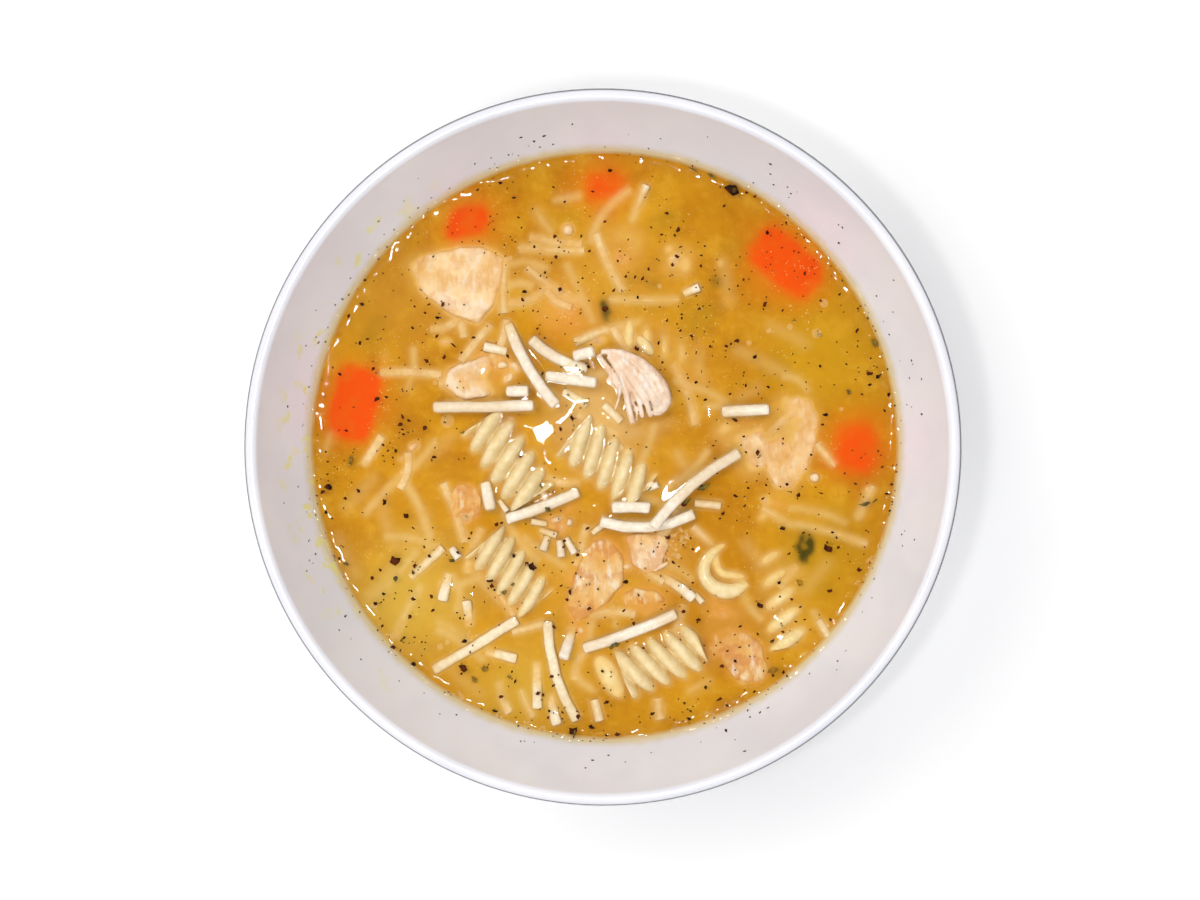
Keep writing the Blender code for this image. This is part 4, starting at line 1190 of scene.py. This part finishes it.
# Under the broth: x, y, top, length, width, thickness, turn
SUNK_LEAVES = (
    (45.3, -22.4, -1.2, 8, 4.8, 1.6, 84), (0.5, 30.6, -1.2, 6, 2.3, 1.4, -82),
    (25.4, 37.2, -1.9, 3.4, 3, 1.2, -30), (11.2, 36.4, -1.7, 3, 1.8, 1.2, -10),
    (5.8, 37, -1.9, 1.6, 1.4, 1.2, 0), (10.8, 56.2, -1.8, 1.6, 1.2, 1.2, 0),
    (44.6, -30.6, -2.2, 2.4, 1.6, 1.2, 0), (38.6, -50.6, -1.9, 3.2, 1.8, 1.2, 20),
    (22.4, -13.6, -1.8, 3, 1.6, 1.2, 30), (-56.6, -3.4, -1.5, 3.8, 1, 1.2, 88),
    (7.6, 60.6, -1.8, 2.6, 1, 1.2, 10),
)
OLIVE_PATCHES = (
    (21.6, 29, -1.5, 11, 8.5, 3, 35), (13, 32, -1.7, 15, 3, 2, 10), (-8.4, 51.6, -2, 10, 6, 3, 0),
    (14, 50.6, -1.6, 10, 5, 3, 20), (46, -24, -1.7, 5, 7, 2, 0), (30, 44, -2, 12, 7, 2, 20),
    (54, -18, -2, 9, 12, 2, 20), (38, 18, -2.1, 9, 6, 2, -20), (-52, 24, -2.1, 6, 12, 2, -20),
)


def flake_shape(name, seed):
    """A torn flake, one across: a thin plate with an uneven outline."""
    chance = random.Random(seed)
    deselect()
    bpy.ops.mesh.primitive_circle_add(vertices=8, radius=0.5, fill_type="NGON")
    obj = added(name)
    for point in obj.data.vertices:
        point.co *= chance.uniform(0.45, 1.2)
    edit(obj, "FACE")
    draw_out(0.16, 0.8)
    face_outwards()
    return obj


def laid(shape, x, y, long, wide, turn, height=0.05, thick=None):
    """A copy of a shape on the level or, beyond the broth, on the wall."""
    obj = linked(shape.name, shape.data.copy())
    reach = math.hypot(x, y) * MM
    place = above(x, y, height)
    lean = Matrix()
    if reach > inner_radius(BROTH_LEVEL) - 0.3 * MM:
        place.z = curve_height(reach, INNER_HALF_WIDTH, INNER_HALF_HEIGHT) + 0.1 * MM
        lean = Matrix.Rotation(math.radians(57), 4, Vector((-y, x, 0)).normalized()).inverted()
    turned_by = Matrix.Rotation(math.radians(turn), 4, "Z")
    size = Matrix.Diagonal((long * MM, wide * MM, (thick or wide) * MM, 1))
    obj.matrix_world = Matrix.Translation(place) @ lean @ turned_by @ size
    return obj


def make_herbs(dark, green):
    shapes = [flake_shape(f"flake_{i}", 40 + i) for i in range(5)]
    chance = random.Random(5)
    flakes = [laid(chance.choice(shapes), x, y, 1.2 * long, 1.2 * wide, turn, 0.15)
              for x, y, long, wide, turn in DARK_FLAKES]
    for _ in range(BROTH_SPECKS):
        reach, angle = 65.4 * math.sqrt(chance.random()), chance.uniform(0, math.tau)
        x, y = reach * math.cos(angle), reach * math.sin(angle)
        if noise.noise(Vector((x, y, 5)) / 13) < chance.uniform(-0.5, 0.35):
            continue
        size = 0.38 + 0.8 * chance.random() ** 6
        flakes.append(laid(chance.choice(shapes), x, y, size * chance.uniform(1, 1.8), size,
                           chance.uniform(0, 360), chance.uniform(0.05, 0.3)))
    for _ in range(WALL_SPECKS):
        reach = 65.6 + 6.0 * chance.random() ** 2.2
        angle = chance.uniform(0, math.tau)
        size = 0.3 + 0.3 * chance.random() ** 2
        flakes.append(laid(chance.choice(shapes), reach * math.cos(angle), reach * math.sin(angle),
                           size * chance.uniform(1, 1.8), size, chance.uniform(0, 360)))
    serve(joined("pepper_and_herbs", flakes), dark)
    leaves = [laid(chance.choice(shapes), x, y, long, wide, turn, height, 0.8)
              for x, y, long, wide, turn, height in GREEN_LEAVES]
    serve(joined("sunk_leaves", [lump("leaf", *row, 0.3, 3) for row in SUNK_LEAVES]), green)
    serve(joined("olive_patches", [lump("olive", *row, 0.2, 3) for row in OLIVE_PATCHES]), green)
    serve(joined("green_leaves", leaves), green)
    for shape in shapes:
        bpy.data.objects.remove(shape)


# Froth on the broth: x, y, how wide the patch is, how many bubbles, their largest width
FROTH = (
    (16.4, -20.6, 5.6, 46, 1), (14.6, -23.4, 4, 20, 0.9), (16.6, -24.4, 1.6, 3, 1.4),
    (-31.2, -16.2, 2.6, 8, 0.9), (10.8, -8.4, 2.6, 14, 0.8), (17.6, -12.4, 2, 8, 0.9),
    (-7.2, -21.4, 3, 12, 0.6), (-52.4, -36.6, 2.6, 22, 0.7), (-48.6, -43.4, 2.4, 20, 0.7),
    (-33, -56.8, 2.6, 20, 0.7), (-28.8, -58.6, 1.6, 10, 0.6), (-23.4, -61, 1.8, 12, 0.7),
    (-17, -63, 2.4, 16, 0.7), (-13.6, -63.8, 1.8, 12, 0.6), (60.2, -25.4, 2.4, 16, 0.7),
    (58, -30.4, 2.8, 16, 0.6), (53.6, -37.6, 3.4, 22, 0.7), (46.4, -46, 3.6, 24, 0.7),
    (41.6, -50.4, 3.2, 20, 0.7), (29.2, -58.2, 4, 20, 0.6), (23.8, -60.8, 2.6, 16, 0.7),
    (16.6, -63, 2.6, 14, 0.6), (-37, 2, 2.8, 12, 0.6), (40.6, -36.8, 2.2, 12, 0.6),
    (-29.8, -43, 3, 16, 0.6), (-20, -29.6, 5, 14, 0.5), (-42.4, 17.8, 0.8, 3, 0.8),
    (-26.8, 27.9, 0.7, 2, 0.8), (10.6, -50.8, 9, 12, 0.5), (-2.2, -26.8, 6, 14, 0.5),
    (9.6, -23.2, 4.6, 10, 0.5), (43.6, 28.6, 7, 10, 0.6), (-13.2, 20, 0.7, 2, 0.7), (-8, 33, 12, 30, 0.4),
    (21, 28, 10, 24, 0.4),
)
# Single bubbles and round drops of fat: x, y, width, how domed
BUBBLES = (
    (-35, 5.8, 3.4, 0.3), (-30.8, -16, 3, 0.3), (49.2, 32.1, 2.1, 0.25), (47.6, 25.4, 2.4, 0.2),
    (41.7, 26.9, 1.5, 0.25), (32.6, 23.3, 1.3, 0.25), (-37.8, 14.4, 1.1, 0.4), (37, 26, 1.3, 0.2),
    (53.2, 8.6, 1, 0.4), (-36.8, -45.2, 1.6, 0.3), (-35.2, -44.2, 1.2, 0.3), (-22.6, -24.6, 1, 0.4),
    (16.9, -24.6, 1.3, 0.4), (12.6, 36, 1.2, 0.3), (-20.8, 42.4, 1, 0.3), (44.8, -3.4, 0.9, 0.4),
)


def make_froth(clear):
    deselect()
    bpy.ops.mesh.primitive_ico_sphere_add(subdivisions=2, radius=0.5)
    ball = added("bubble")
    bpy.ops.object.duplicate()
    dome = added("dome")
    modify(dome, "SUBSURF", levels=1, render_levels=1)
    chance = random.Random(9)
    froth = []
    for x, y, patch, count, widest in FROTH:
        for _ in range(count):
            away, angle = patch / 2 * math.sqrt(chance.random()), chance.uniform(0, math.tau)
            size = widest * chance.uniform(0.3, 1.0)
            place = (x + away * math.cos(angle), y + away * math.sin(angle))
            if math.hypot(*place) > FROTH_REACH:
                continue
            froth.append(laid(ball, *place, size, size, 0, 0.1, size * 0.7))
    for x, y, size, domed in BUBBLES:
        froth.append(laid(dome, x, y, size, size, 0, 0.05, size * domed))
    serve(joined("bubbles", froth), clear).visible_shadow = False
    bpy.data.objects.remove(ball)
    bpy.data.objects.remove(dome)


def food_above():
    """The part of the food that stands out of the broth, joined, to draw the surface up."""
    parts = []
    for piece in list(bpy.context.scene.collection.all_objects):
        if piece.type == "MESH" and piece.name.startswith(("cut_noodle", "meat", "shredded", "twist")):
            parts.append(linked("tip", piece.data.copy()))
    obj = joined("food_tips", parts)
    edit(obj)
    bpy.ops.mesh.bisect(plane_co=(0, 0, BROTH_LEVEL + 0.1 * MM), plane_no=(0, 0, 1), clear_inner=True)
    done()
    return obj


# ---------------------------------------------------------------- stage

def set_stage():
    deselect()
    bpy.ops.mesh.primitive_plane_add(size=4.0, location=(0, 0, 0))
    floor = added("floor")
    made, tree, shader, _ = recipe("pale_floor")
    feed(tree, shader, base_color=(0.95, 0.95, 0.95, 1), roughness=0.9)
    floor.data.materials.append(made)

    world = bpy.data.worlds.new("studio")
    world.use_nodes = True
    world.node_tree.nodes["Background"].inputs[0].default_value = (1, 1, 1, 1)
    world.node_tree.nodes["Background"].inputs[1].default_value = 0.3
    bpy.context.scene.world = world
    bpy.context.scene.view_settings.view_transform = "Standard"

    aim = Vector((0, 0, BROTH_LEVEL))
    lamps = (
        ("left_box", (-0.75, 0.5, 1.15), 0.9, 9.2, (1.0, 0.99, 0.97)),
        ("back_box", (0.4, 0.8, 1.15), 0.9, 5.0, (1, 1, 1)),
        ("right_box", (0.85, -0.3, 1.15), 0.9, 3.2, (0.94, 0.95, 1.0)),
        ("front_box", (-0.3, -0.85, 1.15), 0.9, 7.2, (1, 1, 1)),
        ("flash", (-0.032, -0.004, 0.462), 0.022, 0.3, (1, 1, 1)),
    )
    for name, place, size, power, colour in lamps:
        data = bpy.data.lights.new(name, "AREA")
        data.size = size
        data.energy = power
        data.color = colour
        lamp = linked(name, data)
        lamp.location = place
        lamp.rotation_euler = (aim - Vector(place)).to_track_quat("-Z", "Y").to_euler()
        lamp.visible_camera = False
        lamp.visible_glossy = name == "flash"

    data = bpy.data.cameras.new("camera")
    data.lens = 55.85
    data.sensor_width = 36
    data.clip_start = 0.01
    camera = linked("camera", data)
    camera.location = (15.7 * MM, 15.7 * MM, 462 * MM)
    back = (camera.location - Vector((0, 0, BOWL_HEIGHT))).normalized()
    right = Vector((0, 1, 0)).cross(back).normalized()
    camera.rotation_euler = Matrix((right, back.cross(right), back)).transposed().to_euler()
    bpy.context.scene.camera = camera


def main():
    serve(make_bowl(), white_glaze(), ["bowl"])
    dough, pasta = noodle_dough(), spiral_dough()
    white = chicken_meat("white_meat", 0.0)
    dark = chicken_meat("dark_meat", 1.0)
    mixed = chicken_meat("fatty_meat", 0.55)
    make_noodles(dough)
    make_sunk_noodles(dough)
    make_spirals(pasta)
    make_shredded(white)
    make_chicken(white, dark, mixed)
    make_carrots(carrot_flesh())
    make_sunk_food(dark, white)
    make_herbs(dark_herbs(), green_herbs())
    serve(make_cloud(), cloudy_broth(), ["broth"])
    tips = food_above()
    surface = make_surface(tips)
    bpy.data.objects.remove(tips)
    serve(surface, clear_broth())
    surface.visible_shadow = False
    make_froth(thin_bubble())
    set_stage()


main()
